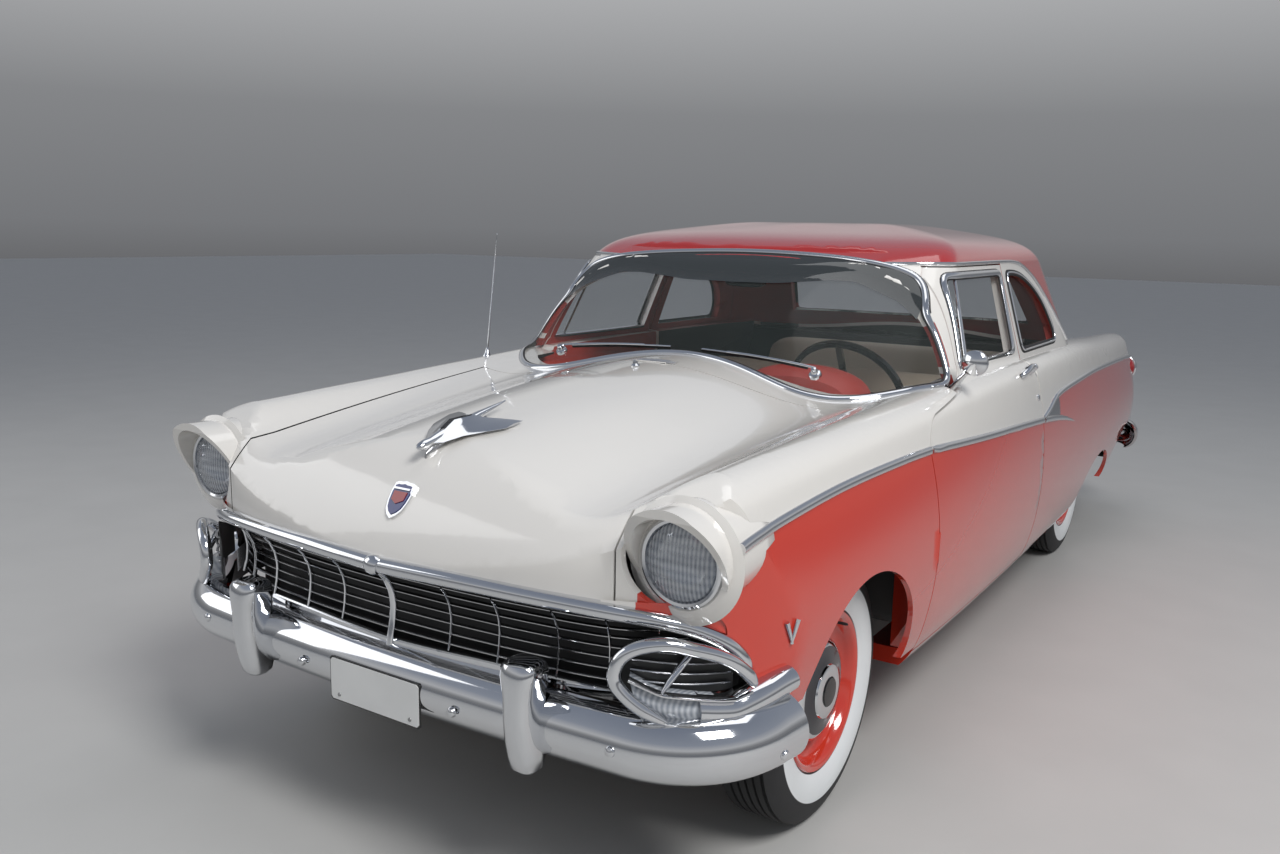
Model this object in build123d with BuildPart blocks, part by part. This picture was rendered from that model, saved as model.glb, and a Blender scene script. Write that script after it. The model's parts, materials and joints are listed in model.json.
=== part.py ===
from build123d import *
import math
import os

# A full-size two-door saloon of the 1950s with a separate frame. Millimetres, +Z up, front towards -Y, the car's left is +X.
# The origin is on the ground, under the middle of the overall length and width.

# Overall layout
wheelbase = 2934.0
front_overhang = 838.0
rear_overhang = 1270.0
front_track = 1473.0
rear_track = 1422.0
body_half = 950.0
belt_z = 1062.0
roof_top_z = 1549.0
front_axle_y = front_overhang - (front_overhang + wheelbase + rear_overhang) / 2
rear_axle_y = front_axle_y + wheelbase
tail_y = rear_axle_y + rear_overhang

# Wheels and tyres
tyre_radius = 345.0
tyre_width = 178.0
rim_radius = 190.0
hub_cap_radius = 138.0
axle_z = tyre_radius

# Body shell
sheet = 16.0
glass_thickness = 6.0
panel_gap = 5.0
seat_gap = 0.3
sill_z = 262.0
sill_height = 51.0
door_bottom_z = sill_z + sill_height + panel_gap
cabin_half_low = 812.0
cabin_half_high = 752.0
floor_z = 284.0
trunk_floor_z = 545.0
firewall_y = front_axle_y + 545.0
bulkhead_y = rear_axle_y - 350.0
frame_bottom_z = 176.0

# Hood, doors and lid, as distances behind the front axle
hood_front_half = 620.0
hood_rear_half = 690.0
hood_rear = 393.0
door_front = 468.0
door_rear = 1640.0
lid_half = 575.0
lid_front = wheelbase + 50.0
lid_bottom_z = 620.0
hood_axis_z = 1099.5
lid_axis_z = 1067.8
door_axis_x = 937.8
pillar_lean = 30.0

# Headlamps, from the car's middle and the ground
lamp_x = 753.0
lamp_z = 847.0
lamp_front = -657.0
lamp_radius = 98.0
bezel_radius = 119.0
bezel_rise = 7.0

# Steering
kingpin_x = 638.0
steering_wheel_radius = 217.0
column_rake = 28.0


def aft(distance):
    """Y of a place so far behind the front axle."""
    return front_axle_y + distance


def both(solid):
    """A solid and its mirror image on the other side of the car."""
    return [solid, solid.mirror(Plane.YZ)]


# Cross-sections of the lower body. Columns: distance behind the front axle, widest half-width as a share below
# body_half, crest x, crest z above the belt, drop of the valley inboard of the crest, height of the middle above the belt
body_sections = [
    (-800.0, 66.0, 768.0, -64.0, 52.0, -122.0),
    (-560.0, 60.0, 770.0, -60.0, 42.0, -66.0),
    (-300.0, 45.0, 775.0, -50.0, 34.0, -26.0),
    (200.0, 25.0, 795.0, -32.0, 18.0, 24.0),
    (640.0, 10.0, 815.0, -16.0, 8.0, 48.0),
    (1700.0, 0.0, 836.0, 0.0, 3.0, 45.0),
    (wheelbase - 60.0, 12.0, 815.0, -22.0, 2.0, 12.0),
    (wheelbase + 480.0, 24.0, 798.0, -48.0, 8.0, -34.0),
    (wheelbase + 880.0, 40.0, 780.0, -64.0, 16.0, -90.0),
    (wheelbase + 1160.0, 56.0, 768.0, -80.0, 20.0, -150.0),
]


def body_solid(inset):
    """The closed form of the lower body, smaller by the inset on every side."""
    with BuildPart() as body:
        for distance, taper, crest_x, crest_rise, drop, middle_rise in body_sections:
            side = body_half - taper - inset
            crest = (crest_x - inset * 0.6, belt_z + crest_rise - inset)
            low = sill_z + inset
            middle = (0.0, belt_z + middle_rise - inset)
            with BuildSketch(Plane.XZ.offset(-aft(distance))):
                with BuildLine():
                    Line((0, low), (side - 95, low))
                    Spline((side - 95, low), (side - 20, 430), (side, 700), (crest[0] + 72, crest[1] - 75), crest, tangents=((0.5, 0.5), (-1, 0.25)))
                    Spline(crest, (crest[0] - 110, crest[1] - drop), middle, tangents=((-1, 0.25), (-1, 0)))
                    mirror(about=Plane.YZ)
                make_face()
        loft()
        # The nose and the tail in side view
        nose, tail = aft(inset), tail_y - inset
        with BuildSketch(Plane.YZ.offset(-1000)):
            with BuildLine():
                Line((nose - 560, 100), (nose - 690, 400))
                Line((nose - 690, 400), (nose - 762, 510))
                Spline((nose - 762, 510), (nose - 770, 745), (nose - 736, 820), (nose - 629, 940), (nose - 500, 1010), tangents=((-0.1, 1), (1, 0.4)))
                Line((nose - 500, 1010), (nose - 500, 1300))
                Line((nose - 500, 1300), (tail - 150, 1300))
                Line((tail - 150, 1300), (tail - 150, 985))
                Spline((tail - 150, 985), (tail - 104, 850), (tail - 120, 560), tangents=((0.7, -1), (-0.1, -1)))
                Line((tail - 120, 560), (tail - 190, 100))
                Line((tail - 190, 100), (nose - 560, 100))
            make_face()
        extrude(amount=2000, mode=Mode.INTERSECT)
        # The bowed front and the rounded tail in plan
        with BuildSketch(Plane.XY):
            with BuildLine():
                Spline((0, nose - 772), (350, nose - 756), (640, nose - 700), (780, nose - 620), (855, nose - 520), (915, nose - 340), tangents=((1, 0), (0.2, 1)))
                Line((915, nose - 340), (1000, nose - 240))
                Line((1000, nose - 240), (1000, tail - 400))
                Spline((1000, tail - 400), (872, tail - 232), (740, tail - 130), (0, tail - 104), tangents=((-0.4, 1), (-1, 0)))
                mirror(about=Plane.YZ)
            make_face()
        extrude(amount=1400, mode=Mode.INTERSECT)
    return body.part


# Plan outlines of the cabin's upper part. Columns: z, half-width at the side, y of the windscreen's middle, front corner x and y,
# start and end of the straight side, rear corner x and y, y of the back window's middle
cabin_outlines = [
    (1000.0, 854.0, 440.0, 722.0, 560.0, 850.0, 2420.0, 720.0, 2800.0, 2950.0),
    (1400.0, 728.0, 986.0, 600.0, 998.0, 1150.0, 2270.0, 585.0, 2490.0, 2560.0),
]
roof_outlines = [
    (1400.0, 728.0, 986.0, 600.0, 998.0, 1150.0, 2270.0, 585.0, 2490.0, 2560.0),
    (1455.0, 700.0, 1070.0, 570.0, 1092.0, 1215.0, 2210.0, 560.0, 2410.0, 2490.0),
    (1502.0, 606.0, 1240.0, 490.0, 1262.0, 1360.0, 2110.0, 460.0, 2270.0, 2340.0),
    (1533.0, 440.0, 1450.0, 330.0, 1470.0, 1530.0, 2000.0, 330.0, 2100.0, 2150.0),
    (roof_top_z, 200.0, 1680.0, 130.0, 1690.0, 1720.0, 1860.0, 130.0, 1890.0, 1900.0),
]


def cabin_outline(row, inset):
    """One plan outline of the cabin, smaller by the inset."""
    z, side, front, corner_x, corner_y, side_start, side_end, rear_x, rear_corner, rear = row
    k = inset * 0.75
    with BuildSketch(Plane.XY.offset(z - (inset if z > 1450 else 0))) as outline:
        with BuildLine():
            Spline((0, aft(front + inset)), (corner_x - k, aft(corner_y + k)), (side - inset, aft(side_start)), tangents=((1, 0), (0.02, 1)))
            Line((side - inset, aft(side_start)), (side - inset, aft(side_end)))
            Spline((side - inset, aft(side_end)), (rear_x - k, aft(rear_corner - k)), (0, aft(rear - inset)), tangents=((-0.02, 1), (-1, 0)))
            mirror(about=Plane.YZ)
        make_face()
    return outline.sketch


def cabin_solid(inset):
    """The closed form of roof, pillars and glass, smaller by the inset."""
    with BuildPart() as upper:
        for row in cabin_outlines:
            add(cabin_outline(row, inset))
        loft(ruled=True)
    with BuildPart() as cap:
        for row in roof_outlines:
            add(cabin_outline(row, inset))
        loft()
    return upper.part + cap.part


def side_prism(sketch, x_from, x_to):
    """A side-view outline, drawn as (y, z), carried across from one x to another."""
    return extrude(Plane.YZ.offset(x_from) * sketch, amount=x_to - x_from, dir=(1, 0, 0))


# Side-view outlines. Each is drawn as (distance behind the front axle, z) and moved to the axle afterwards
def placed(sketch):
    return Pos(front_axle_y, 0, 0) * sketch


def arch(middle, half_length, top, bottom):
    """A wheel opening: an ellipse over a straight lower part."""
    with BuildSketch() as opening:
        with Locations((middle, bottom)):
            Ellipse(half_length, top - bottom)
        with Locations((middle, bottom - 200)):
            Rectangle(half_length * 2, 400)
    return opening.sketch


front_arch = arch(0.0, 362.0, 678.0, 330.0)
rear_arch = arch(wheelbase + 20.0, 372.0, 512.0, 300.0)

with BuildSketch() as door_low:
    with BuildLine():
        Line((door_rear, door_bottom_z), (door_front, door_bottom_z))
        Line((door_front, door_bottom_z), (door_front, 900))
        ThreePointArc((door_front, 900), (door_front + 36, 968), (door_front + 110, 1002))
        Line((door_front + 110, 1002), (door_front + 400, 1040))
        Line((door_front + 400, 1040), (door_front + 424, belt_z + 20))
        Line((door_front + 424, belt_z + 20), (door_rear, belt_z + 20))
        Line((door_rear, belt_z + 20), (door_rear, door_bottom_z))
    make_face()
with BuildSketch() as door_high:
    with BuildLine():
        Polyline((892, 1040), (906, 1120), (950, 1240), (998, 1372), (1032, 1406), (door_rear + pillar_lean, 1406), (door_rear, 1040), (892, 1040))
    make_face()
with BuildSketch() as door_window:
    with BuildLine():
        Polyline((930, 1086), (948, 1140), (990, 1245), (1030, 1358), (1050, 1380), (door_rear - 34 + pillar_lean, 1380), (door_rear - 62, 1086), (930, 1086))
    make_face()
with BuildSketch() as quarter_window:
    with BuildLine():
        Line((1695, 1090), (1722, 1376))
        Spline((1722, 1376), (1910, 1366), (2085, 1307), (2180, 1239), (2240, 1150), (2246, 1090), tangents=((1, 0), (0, -1)))
        Line((2246, 1090), (1695, 1090))
    make_face()
with BuildSketch() as windscreen_view:
    with BuildLine():
        Polyline((200, 960), (838, 960), (852, 1085), (905, 1240), (952, 1372), (985, 1412), (1066, 1449), (1066, 1520), (200, 1520), (200, 960))
    make_face()
with BuildSketch() as fender_view:
    with BuildLine():
        Polyline((-900, 1200), (-900, 468), (-300, 468), (-300, 330), (800, 330), (800, 1200), (-900, 1200))
    make_face()
    add(front_arch, mode=Mode.SUBTRACT)
with BuildSketch() as quarter_view:
    with BuildLine():
        Polyline(
            (door_rear + panel_gap, 1150), (door_rear + panel_gap, door_bottom_z - panel_gap), (wheelbase + 399, door_bottom_z - panel_gap), (wheelbase + 399, 400),
            (wheelbase + 500, 440), (wheelbase + 660, 500), (wheelbase + 760, 534), (wheelbase + 1300, 534), (wheelbase + 1300, 1150), (door_rear + panel_gap, 1150))
    make_face()
    add(rear_arch, mode=Mode.SUBTRACT)

# The body solids and the space inside the cabin
outer = body_solid(0.0)
inner = body_solid(sheet)
cabin_outer = cabin_solid(0.0)
cabin_inner = cabin_solid(36.0)
with BuildPart() as cabin_space:
    with BuildSketch(Plane.XZ.offset(-aft(door_front - 60))):
        with BuildLine():
            Polyline(
                (-cabin_half_low, 200), (cabin_half_low, 200), (cabin_half_low, 800), (cabin_half_high, 1000), (cabin_half_high, 1300), (-cabin_half_high, 1300), (-cabin_half_high, 1000),
                (-cabin_half_low, 800), (-cabin_half_low, 200))
        make_face()
    extrude(amount=-(bulkhead_y - aft(door_front - 60)))
with BuildPart() as cabin_mouth:
    add(Pos(0, 0, -30) * extrude(cabin_outline(cabin_outlines[0], 110.0), amount=300))
    with Locations((0, aft(1700), 1100)):
        Box(2 * cabin_half_high, 2240, 400, mode=Mode.INTERSECT)

door_outline = placed(door_low.sketch + door_high.sketch)
door_hole = placed(offset(door_low.sketch + door_high.sketch, panel_gap, kind=Kind.INTERSECTION))

with BuildSketch() as hood_plan:
    with BuildLine():
        Polyline(
            (-hood_front_half, aft(-900)), (hood_front_half, aft(-900)), (hood_front_half, aft(-560)), (hood_rear_half, aft(hood_rear)),
            (-hood_rear_half, aft(hood_rear)), (-hood_front_half, aft(-560)), (-hood_front_half, aft(-900)))
    make_face()
with BuildSketch() as lid_plan:
    with BuildLine():
        Polyline((-lid_half, aft(lid_front)), (lid_half, aft(lid_front)), (lid_half, tail_y + 100), (-lid_half, tail_y + 100), (-lid_half, aft(lid_front)))
    make_face()
hood_bottom_z = 745.0
hood_region = extrude(Plane.XY.offset(hood_bottom_z) * hood_plan.sketch, amount=500)
hood_hole = extrude(Plane.XY.offset(hood_bottom_z - panel_gap) * offset(hood_plan.sketch, panel_gap, kind=Kind.INTERSECTION), amount=500)
lid_region = extrude(Plane.XY.offset(lid_bottom_z) * lid_plan.sketch, amount=600)
lid_hole = extrude(Plane.XY.offset(lid_bottom_z - panel_gap) * offset(lid_plan.sketch, panel_gap, kind=Kind.INTERSECTION), amount=600)

# The grille opening in the front, drawn as (x, z)
with BuildPart() as grille_hole:
    with BuildSketch(Plane.XZ.offset(-aft(-480))):
        with Locations((0, 618)):
            RectangleRounded(1640, 254, 60)
    extrude(amount=500)

fender_region = placed(fender_view.sketch)
fender_block = side_prism(fender_region, 600, 1100)
with BuildPart() as cowl_box:
    with Locations((0, aft(hood_rear) + 244, 1100)):
        Box(2 * (hood_rear_half + panel_gap), 508, 320)


def along_y(profile, x, z):
    """A solid turned about an axis along Y; the profile is drawn as (y, radius)."""
    plane = Plane(origin=(x, 0, z), x_dir=(0, 1, 0), z_dir=(1, 0, 0))
    with BuildPart() as turned:
        with BuildSketch(plane):
            with BuildLine():
                Polyline(*profile, profile[0])
            make_face()
        revolve(axis=Axis((x, 0, z), (0, 1, 0)))
    return turned.part


def save(name, *pieces):
    """Label one node and write it out."""
    solids = [solid for piece in pieces for solid in piece.solids()]
    node = solids[0] if len(solids) == 1 else Compound(children=solids)
    node.label = name
    export_step(node, "parts/" + name + ".step")


def hinge_barrel(centre, seat, length, axis):
    """A rod along the axis through the centre, joined to a seat straight behind or in front of it."""
    radius = panel_gap / 2 - seat_gap
    reach = seat[1] - centre[1]
    along_x_axis = axis == Axis.X
    rod = Pos(*centre) * (Rot(0, 90, 0) if along_x_axis else Rot(0, 0, 0)) * Cylinder(radius, length)
    size = (length, abs(reach) + 2, 2 * radius) if along_x_axis else (2 * radius, abs(reach) + 2, length)
    root = Pos(centre[0], centre[1] + (reach + math.copysign(2, reach)) / 2, centre[2]) * Box(*size)
    return rod + root


os.makedirs("parts", exist_ok=True)

# Headlamp bezels: a tube with a slanted visor, set into the fender's front
lamp_y = aft(lamp_front)
bezel_tube = along_y([(lamp_y + 200, 0), (lamp_y + 200, bezel_radius - 8), (lamp_y - 80, bezel_radius), (lamp_y - 80, 0)], lamp_x, lamp_z + bezel_rise)
lamp_bowl = along_y([(lamp_y + 70, 0), (lamp_y + 70, lamp_radius), (lamp_y - 80, lamp_radius + 8), (lamp_y - 80, 0)], lamp_x, lamp_z)
with BuildPart() as lamp_bezel:
    add(bezel_tube)
    add(lamp_bowl, mode=Mode.SUBTRACT)
    with BuildSketch(Plane.YZ.offset(lamp_x - 300)):
        with BuildLine():
            Polyline(
                (lamp_y - 200, lamp_z - 300), (lamp_y + 30, lamp_z - 300), (lamp_y + 30, lamp_z - 95), (lamp_y - 78, lamp_z + 105), (lamp_y - 78, lamp_z + 300), (lamp_y - 200, lamp_z + 300),
                (lamp_y - 200, lamp_z - 300))
        make_face()
    extrude(amount=600, mode=Mode.SUBTRACT)
lamp_body = along_y(
    [(lamp_y + 70 - seat_gap, 0), (lamp_y + 70 - seat_gap, lamp_radius - 3), (lamp_y, lamp_radius - 1), (lamp_y - 6, lamp_radius - 6), (lamp_y - 6, lamp_radius - 12), (lamp_y - 22, 40), (lamp_y - 26, 0)], lamp_x, lamp_z)

with BuildPart() as parking_pod:
    with BuildSketch(Plane(origin=(742, aft(-626), 592), x_dir=(0.86, 0.5, 0), z_dir=(0.5, -0.86, 0)).offset(-40)):
        SlotOverall(290, 118)
    extrude(amount=98)
fender_pieces = (outer & fender_block) - inner - side_prism(door_hole, 300, 1100) - hood_hole - cowl_box.part - grille_hole.part - bezel_tube - parking_pod.part
fender_left = max(fender_pieces.solids(), key=lambda piece: piece.volume)
quarter_block = side_prism(placed(quarter_view.sketch), lid_half + panel_gap + 12.0, 1100)
tail_lamp_hole = along_y([(tail_y - 240, 0), (tail_y - 240, 78), (tail_y, 78), (tail_y, 0)], 806, 800)
tail_lamp = along_y(
    [(tail_y - 240, 0), (tail_y - 240, 77.5), (tail_y - 122, 77.5), (tail_y - 112, 70), (tail_y - 96, 60), (tail_y - 78, 30), (tail_y - 74, 0)], 806, 800)
quarter_solid = outer & quarter_block
rear_part = Pos(0, bulkhead_y + 1500, 700) * Box(2400, 3000, 1600)
quarter_left = (quarter_solid - rear_part - cabin_space.part) + ((quarter_solid & rear_part) - inner - cabin_mouth.part) - lid_hole - tail_lamp_hole

cowl = (outer & cowl_box.part) - inner - hood_hole - cabin_mouth.part - side_prism(door_hole, -1100, 1100)
cowl = max(cowl.solids(), key=lambda piece: piece.volume)
pan_box = Pos(0, aft(-640), 450) * Box(1200, 400, 150)
arm_hole = Pos(420, aft(-700), 440) * Box(58, 300, 68)
front_pan = (outer & pan_box) - inner - grille_hole.part - arm_hole - arm_hole.mirror(Plane.YZ)
deck_box = Pos(0, (aft(2500) + tail_y + 100) / 2, 820) * Box(2 * (lid_half + panel_gap + 12.0), tail_y + 100 - aft(2500), 700)
rear_deck = (outer & deck_box) - inner - lid_hole - cabin_mouth.part
hood = (outer & hood_region) - inner
trunk_lid = (outer & lid_region) - inner

# Hinge barrels, each a short rod in the gap with a root to the fixed panel
fender_left = fender_left + hinge_barrel((door_axis_x, aft(door_front) - panel_gap / 2, 640), (door_axis_x, aft(door_front) - panel_gap, 640), 90, Axis.Z)
cowl = cowl + hinge_barrel((0, aft(hood_rear) + panel_gap / 2, hood_axis_z), (0, aft(hood_rear) + panel_gap, hood_axis_z), 110, Axis.X)
rear_deck = rear_deck + hinge_barrel((0, aft(lid_front) - panel_gap / 2, lid_axis_z), (0, aft(lid_front) - panel_gap, lid_axis_z), 110, Axis.X)

save("fender_left", fender_left)
save("fender_right", fender_left.mirror(Plane.YZ))
save("quarter_left", quarter_left)
save("quarter_right", quarter_left.mirror(Plane.YZ))
save("cowl", cowl)
save("front_pan", front_pan)
save("rear_deck", rear_deck)
save("hood", hood)
save("trunk_lid", trunk_lid)
save("headlamp_bezels", *both(lamp_bezel.part))
save("headlamps", *both(lamp_body))
save("tail_lamps", *both(tail_lamp))

# The cabin's walls above the belt, glass and the upper half of each door
cabin_walls = cabin_outer - cabin_inner - outer
glass_form = cabin_solid(12.0)
glass_walls = glass_form - cabin_solid(12.0 + glass_thickness) - outer
side_holes = side_prism(door_hole, 640, 1100) + side_prism(placed(quarter_window.sketch), 300, 1100)
screen_prism = side_prism(placed(windscreen_view.sketch), -1100, 1100)
with BuildPart() as back_window_prism:
    with BuildSketch(Plane.XZ.offset(-aft(2350))):
        with BuildLine():
            Polyline((-600, 1112), (600, 1112), (520, 1392), (-520, 1392), (-600, 1112))
        make_face()
    extrude(amount=-700)
openings = screen_prism + back_window_prism.part
drip_z = 1416.0
above_drip = Pos(0, 0, drip_z + 200) * Box(2400, 5000, 400)
left_half = Pos(600, 0, 1100) * Box(1200, 5200, 1200)
roof_panel = (cabin_outer & above_drip) - cabin_inner - screen_prism
pillar_half = (cabin_outer & left_half) - above_drip - cabin_inner - outer - openings - side_holes
pillar_frame = pillar_half + pillar_half.mirror(Plane.YZ)
windscreen = glass_walls & screen_prism
back_window = glass_walls & back_window_prism.part
quarter_glass = glass_walls & side_prism(placed(quarter_window.sketch), 300, 1100)

# The door's rear edge leans inwards, so that it swings clear of the quarter panel
with BuildPart() as door_bevel:
    with BuildSketch(Plane.XY.offset(150)):
        with BuildLine():
            Polyline(
                (1000, aft(door_rear) + 4.46), (1000, aft(door_rear) + 90), (280, aft(door_rear) + 90),
                (280, aft(door_rear) - 54.25), (1000, aft(door_rear) + 4.46))
        make_face()
    extrude(amount=1300)
door_prism = side_prism(door_outline, 300, 1100) - door_bevel.part
door_lower = (outer & door_prism) - cabin_space.part
door_upper = (cabin_walls & side_prism(door_outline, 640, 1100)) - side_prism(placed(door_window.sketch), 300, 1100)
with BuildSketch() as door_rebate:
    with BuildLine():
        Polyline((door_rear - 7, 1030), (door_rear - 6 + pillar_lean, 1420), (door_rear + 40, 1420), (door_rear + 40, 1030), (door_rear - 7, 1030))
    make_face()
door_upper = door_upper - (glass_form & side_prism(placed(door_rebate.sketch), 640, 1100))
door_left = door_lower + door_upper
door_glass = glass_walls & side_prism(placed(door_window.sketch), 300, 1100)

save("roof_panel", roof_panel)
save("pillar_frame", pillar_frame)
save("windscreen", windscreen)
save("back_window", back_window)
save("quarter_windows", *both(quarter_glass))
save("door_left", door_left)
save("door_right", door_left.mirror(Plane.YZ))
save("door_glass_left", door_glass)
save("door_glass_right", door_glass.mirror(Plane.YZ))


def along_x(profile, middle_x, y, z):
    """A solid turned about an axis along X; the profile is drawn as (distance outboard of middle_x, radius)."""
    plane = Plane(origin=(middle_x, y, z), x_dir=(1, 0, 0), z_dir=(0, -1, 0))
    with BuildPart() as turned:
        with BuildSketch(plane):
            with BuildLine():
                Polyline(*profile, profile[0])
            make_face()
        revolve(axis=Axis((middle_x, y, z), (1, 0, 0)))
    return turned.part


# Wheels: pressed rim and disc with the drum behind it, a domed cap, and the tyre. Profiles are (distance outboard, radius)
half_tyre = tyre_width / 2
spindle_radius = 20.0
rim_profile = [
    (-72, rim_radius + 16), (-66, rim_radius + 16), (-63, rim_radius), (-24, rim_radius - 1), (-12, 166), (22, 166), (34, rim_radius - 1), (63, rim_radius), (66, rim_radius + 16), (72, rim_radius + 16),
    (70, 184), (38, 180), (27, 156), (10, 156), (34, 138), (40, 90), (36, 62), (36, 0), (22, 0), (22, spindle_radius), (-62, spindle_radius), (-62, 140), (14, 140), (-2, 156), (-14, 158), (-26, 182), (-70, 184)]
cap_profile = [(40.5, 0), (40.5, 88), (35.5, hub_cap_radius - 3), (38, hub_cap_radius), (58, hub_cap_radius - 6), (70, 112), (78, 84), (86, 60), (88, 0)]
tyre_profile = [
    (-56, rim_radius + 0.4), (-half_tyre, 262), (-half_tyre + 8, 315), (-56, tyre_radius), (56, tyre_radius), (half_tyre - 8, 315), (half_tyre, 262), (56, rim_radius + 0.4)]
for corner, track, axle_y in [("front", front_track, front_axle_y), ("rear", rear_track, rear_axle_y)]:
    wheel = along_x(rim_profile, track / 2, axle_y, axle_z)
    hub_cap = along_x(cap_profile, track / 2, axle_y, axle_z)
    tyre = along_x(tyre_profile, track / 2, axle_y, axle_z)
    save("wheel_" + corner + "_left", wheel, hub_cap)
    save("wheel_" + corner + "_right", wheel.mirror(Plane.YZ), hub_cap.mirror(Plane.YZ))
    save("tyre_" + corner + "_left", tyre)
    save("tyre_" + corner + "_right", tyre.mirror(Plane.YZ))

# Steering knuckles: an upright on the kingpin line with its spindle and arm
lower_joint_z, upper_joint_z = axle_z - 100, axle_z + 95
with BuildPart() as knuckle:
    with Locations((kingpin_x, front_axle_y, (lower_joint_z + upper_joint_z) / 2)):
        Cylinder(17, upper_joint_z - lower_joint_z)
    with BuildSketch(Plane.YZ.offset(kingpin_x)):
        with Locations((front_axle_y, axle_z)):
            Circle(30)
    extrude(amount=front_track / 2 - 62 - kingpin_x - 6)
    with BuildSketch(Plane.YZ.offset(kingpin_x)):
        with Locations((front_axle_y, axle_z)):
            Circle(spindle_radius - 0.3)
    extrude(amount=front_track / 2 + 20 - kingpin_x)
    with Locations((kingpin_x, front_axle_y + 75, axle_z - 60)):
        Box(24, 150, 18)
save("knuckle_left", knuckle.part)
save("knuckle_right", knuckle.part.mirror(Plane.YZ))

# Front suspension: cross beam, coil towers and the arms that carry the ball joints
joint_gap = 0.3
with BuildPart() as front_suspension:
    with BuildSketch(Plane.XZ.offset(-front_axle_y + 45)):
        with BuildLine():
            Polyline((-480, 222), (480, 222), (480, 350), (385, 350), (300, 282), (-300, 282), (-385, 350), (-480, 350), (-480, 222))
        make_face()
    extrude(amount=-90)
    for side in (-1, 1):
        for height, inner_x, thickness in [(lower_joint_z - joint_gap - 11, 455, 22), (upper_joint_z + joint_gap + 9, 455, 18)]:
            with BuildSketch(Plane.XY.offset(height - thickness / 2)):
                with BuildLine():
                    Polyline(
                        (side * inner_x, front_axle_y - 110), (side * (kingpin_x - 22), front_axle_y - 24), (side * (kingpin_x + 20), front_axle_y - 24),
                        (side * (kingpin_x + 20), front_axle_y + 24), (side * (kingpin_x - 22), front_axle_y + 24), (side * inner_x, front_axle_y + 110), (side * inner_x, front_axle_y - 110))
                make_face()
            extrude(amount=thickness)
        with Locations((side * 505, front_axle_y, (lower_joint_z + upper_joint_z) / 2)):
            Cylinder(42, upper_joint_z - lower_joint_z + 2)

# Frame: two rails that dip under the cabin and rise over the rear axle, tied by cross members
rail_inner, rail_width, rail_height = 385.0, 70.0, 86.0
engine_bottom_z, radiator_bottom_z = 305.0, 420.0
# Columns: y of the middle, top
cross_members = [
    (aft(-560), 434.0), (aft(-300), radiator_bottom_z - seat_gap), (aft(200), engine_bottom_z - seat_gap), (aft(700), 204.0),
    (aft(2000), 204.0), (aft(wheelbase + 540), 456.0), (tail_y - 185, 444.0)]
# Columns: y of the middle, bottom, top. The front one lies under the spring's eye, the rear one over it
spring_hangers = [(aft(wheelbase - 640), 235.0, 330.0 - seat_gap), (aft(wheelbase + 668), 398.0 + seat_gap, 450.0)]
with BuildPart() as chassis_frame:
    with BuildSketch(Plane.YZ.offset(rail_inner)):
        with BuildLine():
            rail = Polyline(
                (aft(-640), 420), (aft(-300), 410), (aft(250), 330), (aft(520), frame_bottom_z + rail_height / 2), (aft(2260), frame_bottom_z + rail_height / 2),
                (aft(wheelbase - 210), 458), (aft(wheelbase + 330), 458), (aft(wheelbase + 700), 430), (tail_y - 150, 430))
        trace(rail, line_width=rail_height)
    extrude(amount=rail_width)
    mirror(about=Plane.YZ)
    for middle_y, top in cross_members:
        with Locations((0, middle_y, top - 14)):
            Box(2 * rail_inner + 40, 70, 28)
    for middle_y, bottom, top in spring_hangers:
        for side in (-1, 1):
            with Locations((side * (rail_inner + rail_width + 32), middle_y, (bottom + top) / 2)):
                Box(64, 60, top - bottom)
    for middle_y in (aft(900), aft(1480), aft(2060)):
        for side in (-1, 1):
            with Locations((side * (rail_inner + rail_width / 2), middle_y, (frame_bottom_z + rail_height + floor_z - 7) / 2)):
                Box(60, 60, floor_z - 7 - frame_bottom_z - rail_height)
save("chassis_frame", chassis_frame.part)
save("front_suspension", front_suspension.part - chassis_frame.part)

# Rear axle on two leaf springs outboard of the frame
with BuildPart() as rear_axle:
    with BuildSketch(Plane.YZ.offset(-rear_track / 2 + 70)):
        with Locations((rear_axle_y, axle_z)):
            Circle(38)
    extrude(amount=rear_track - 140)
    with BuildSketch(Plane.YZ.offset(-rear_track / 2 - 20)):
        with Locations((rear_axle_y, axle_z)):
            Circle(spindle_radius - 0.3)
    extrude(amount=rear_track + 40)
    with Locations((0, rear_axle_y, axle_z)):
        Sphere(118)
with BuildPart() as leaf_spring:
    with BuildSketch(Plane.YZ.offset(461)):
        with BuildLine():
            ThreePointArc((aft(wheelbase - 640), 330), (rear_axle_y, axle_z + 34), (aft(wheelbase + 640), 372))
            Line((aft(wheelbase + 640), 372), (aft(wheelbase + 640), 398))
            ThreePointArc((aft(wheelbase + 640), 398), (rear_axle_y, axle_z + 60), (aft(wheelbase - 640), 356))
            Line((aft(wheelbase - 640), 356), (aft(wheelbase - 640), 330))
        make_face()
    extrude(amount=58)
save("rear_axle", rear_axle.part + leaf_spring.part + leaf_spring.part.mirror(Plane.YZ))

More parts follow.
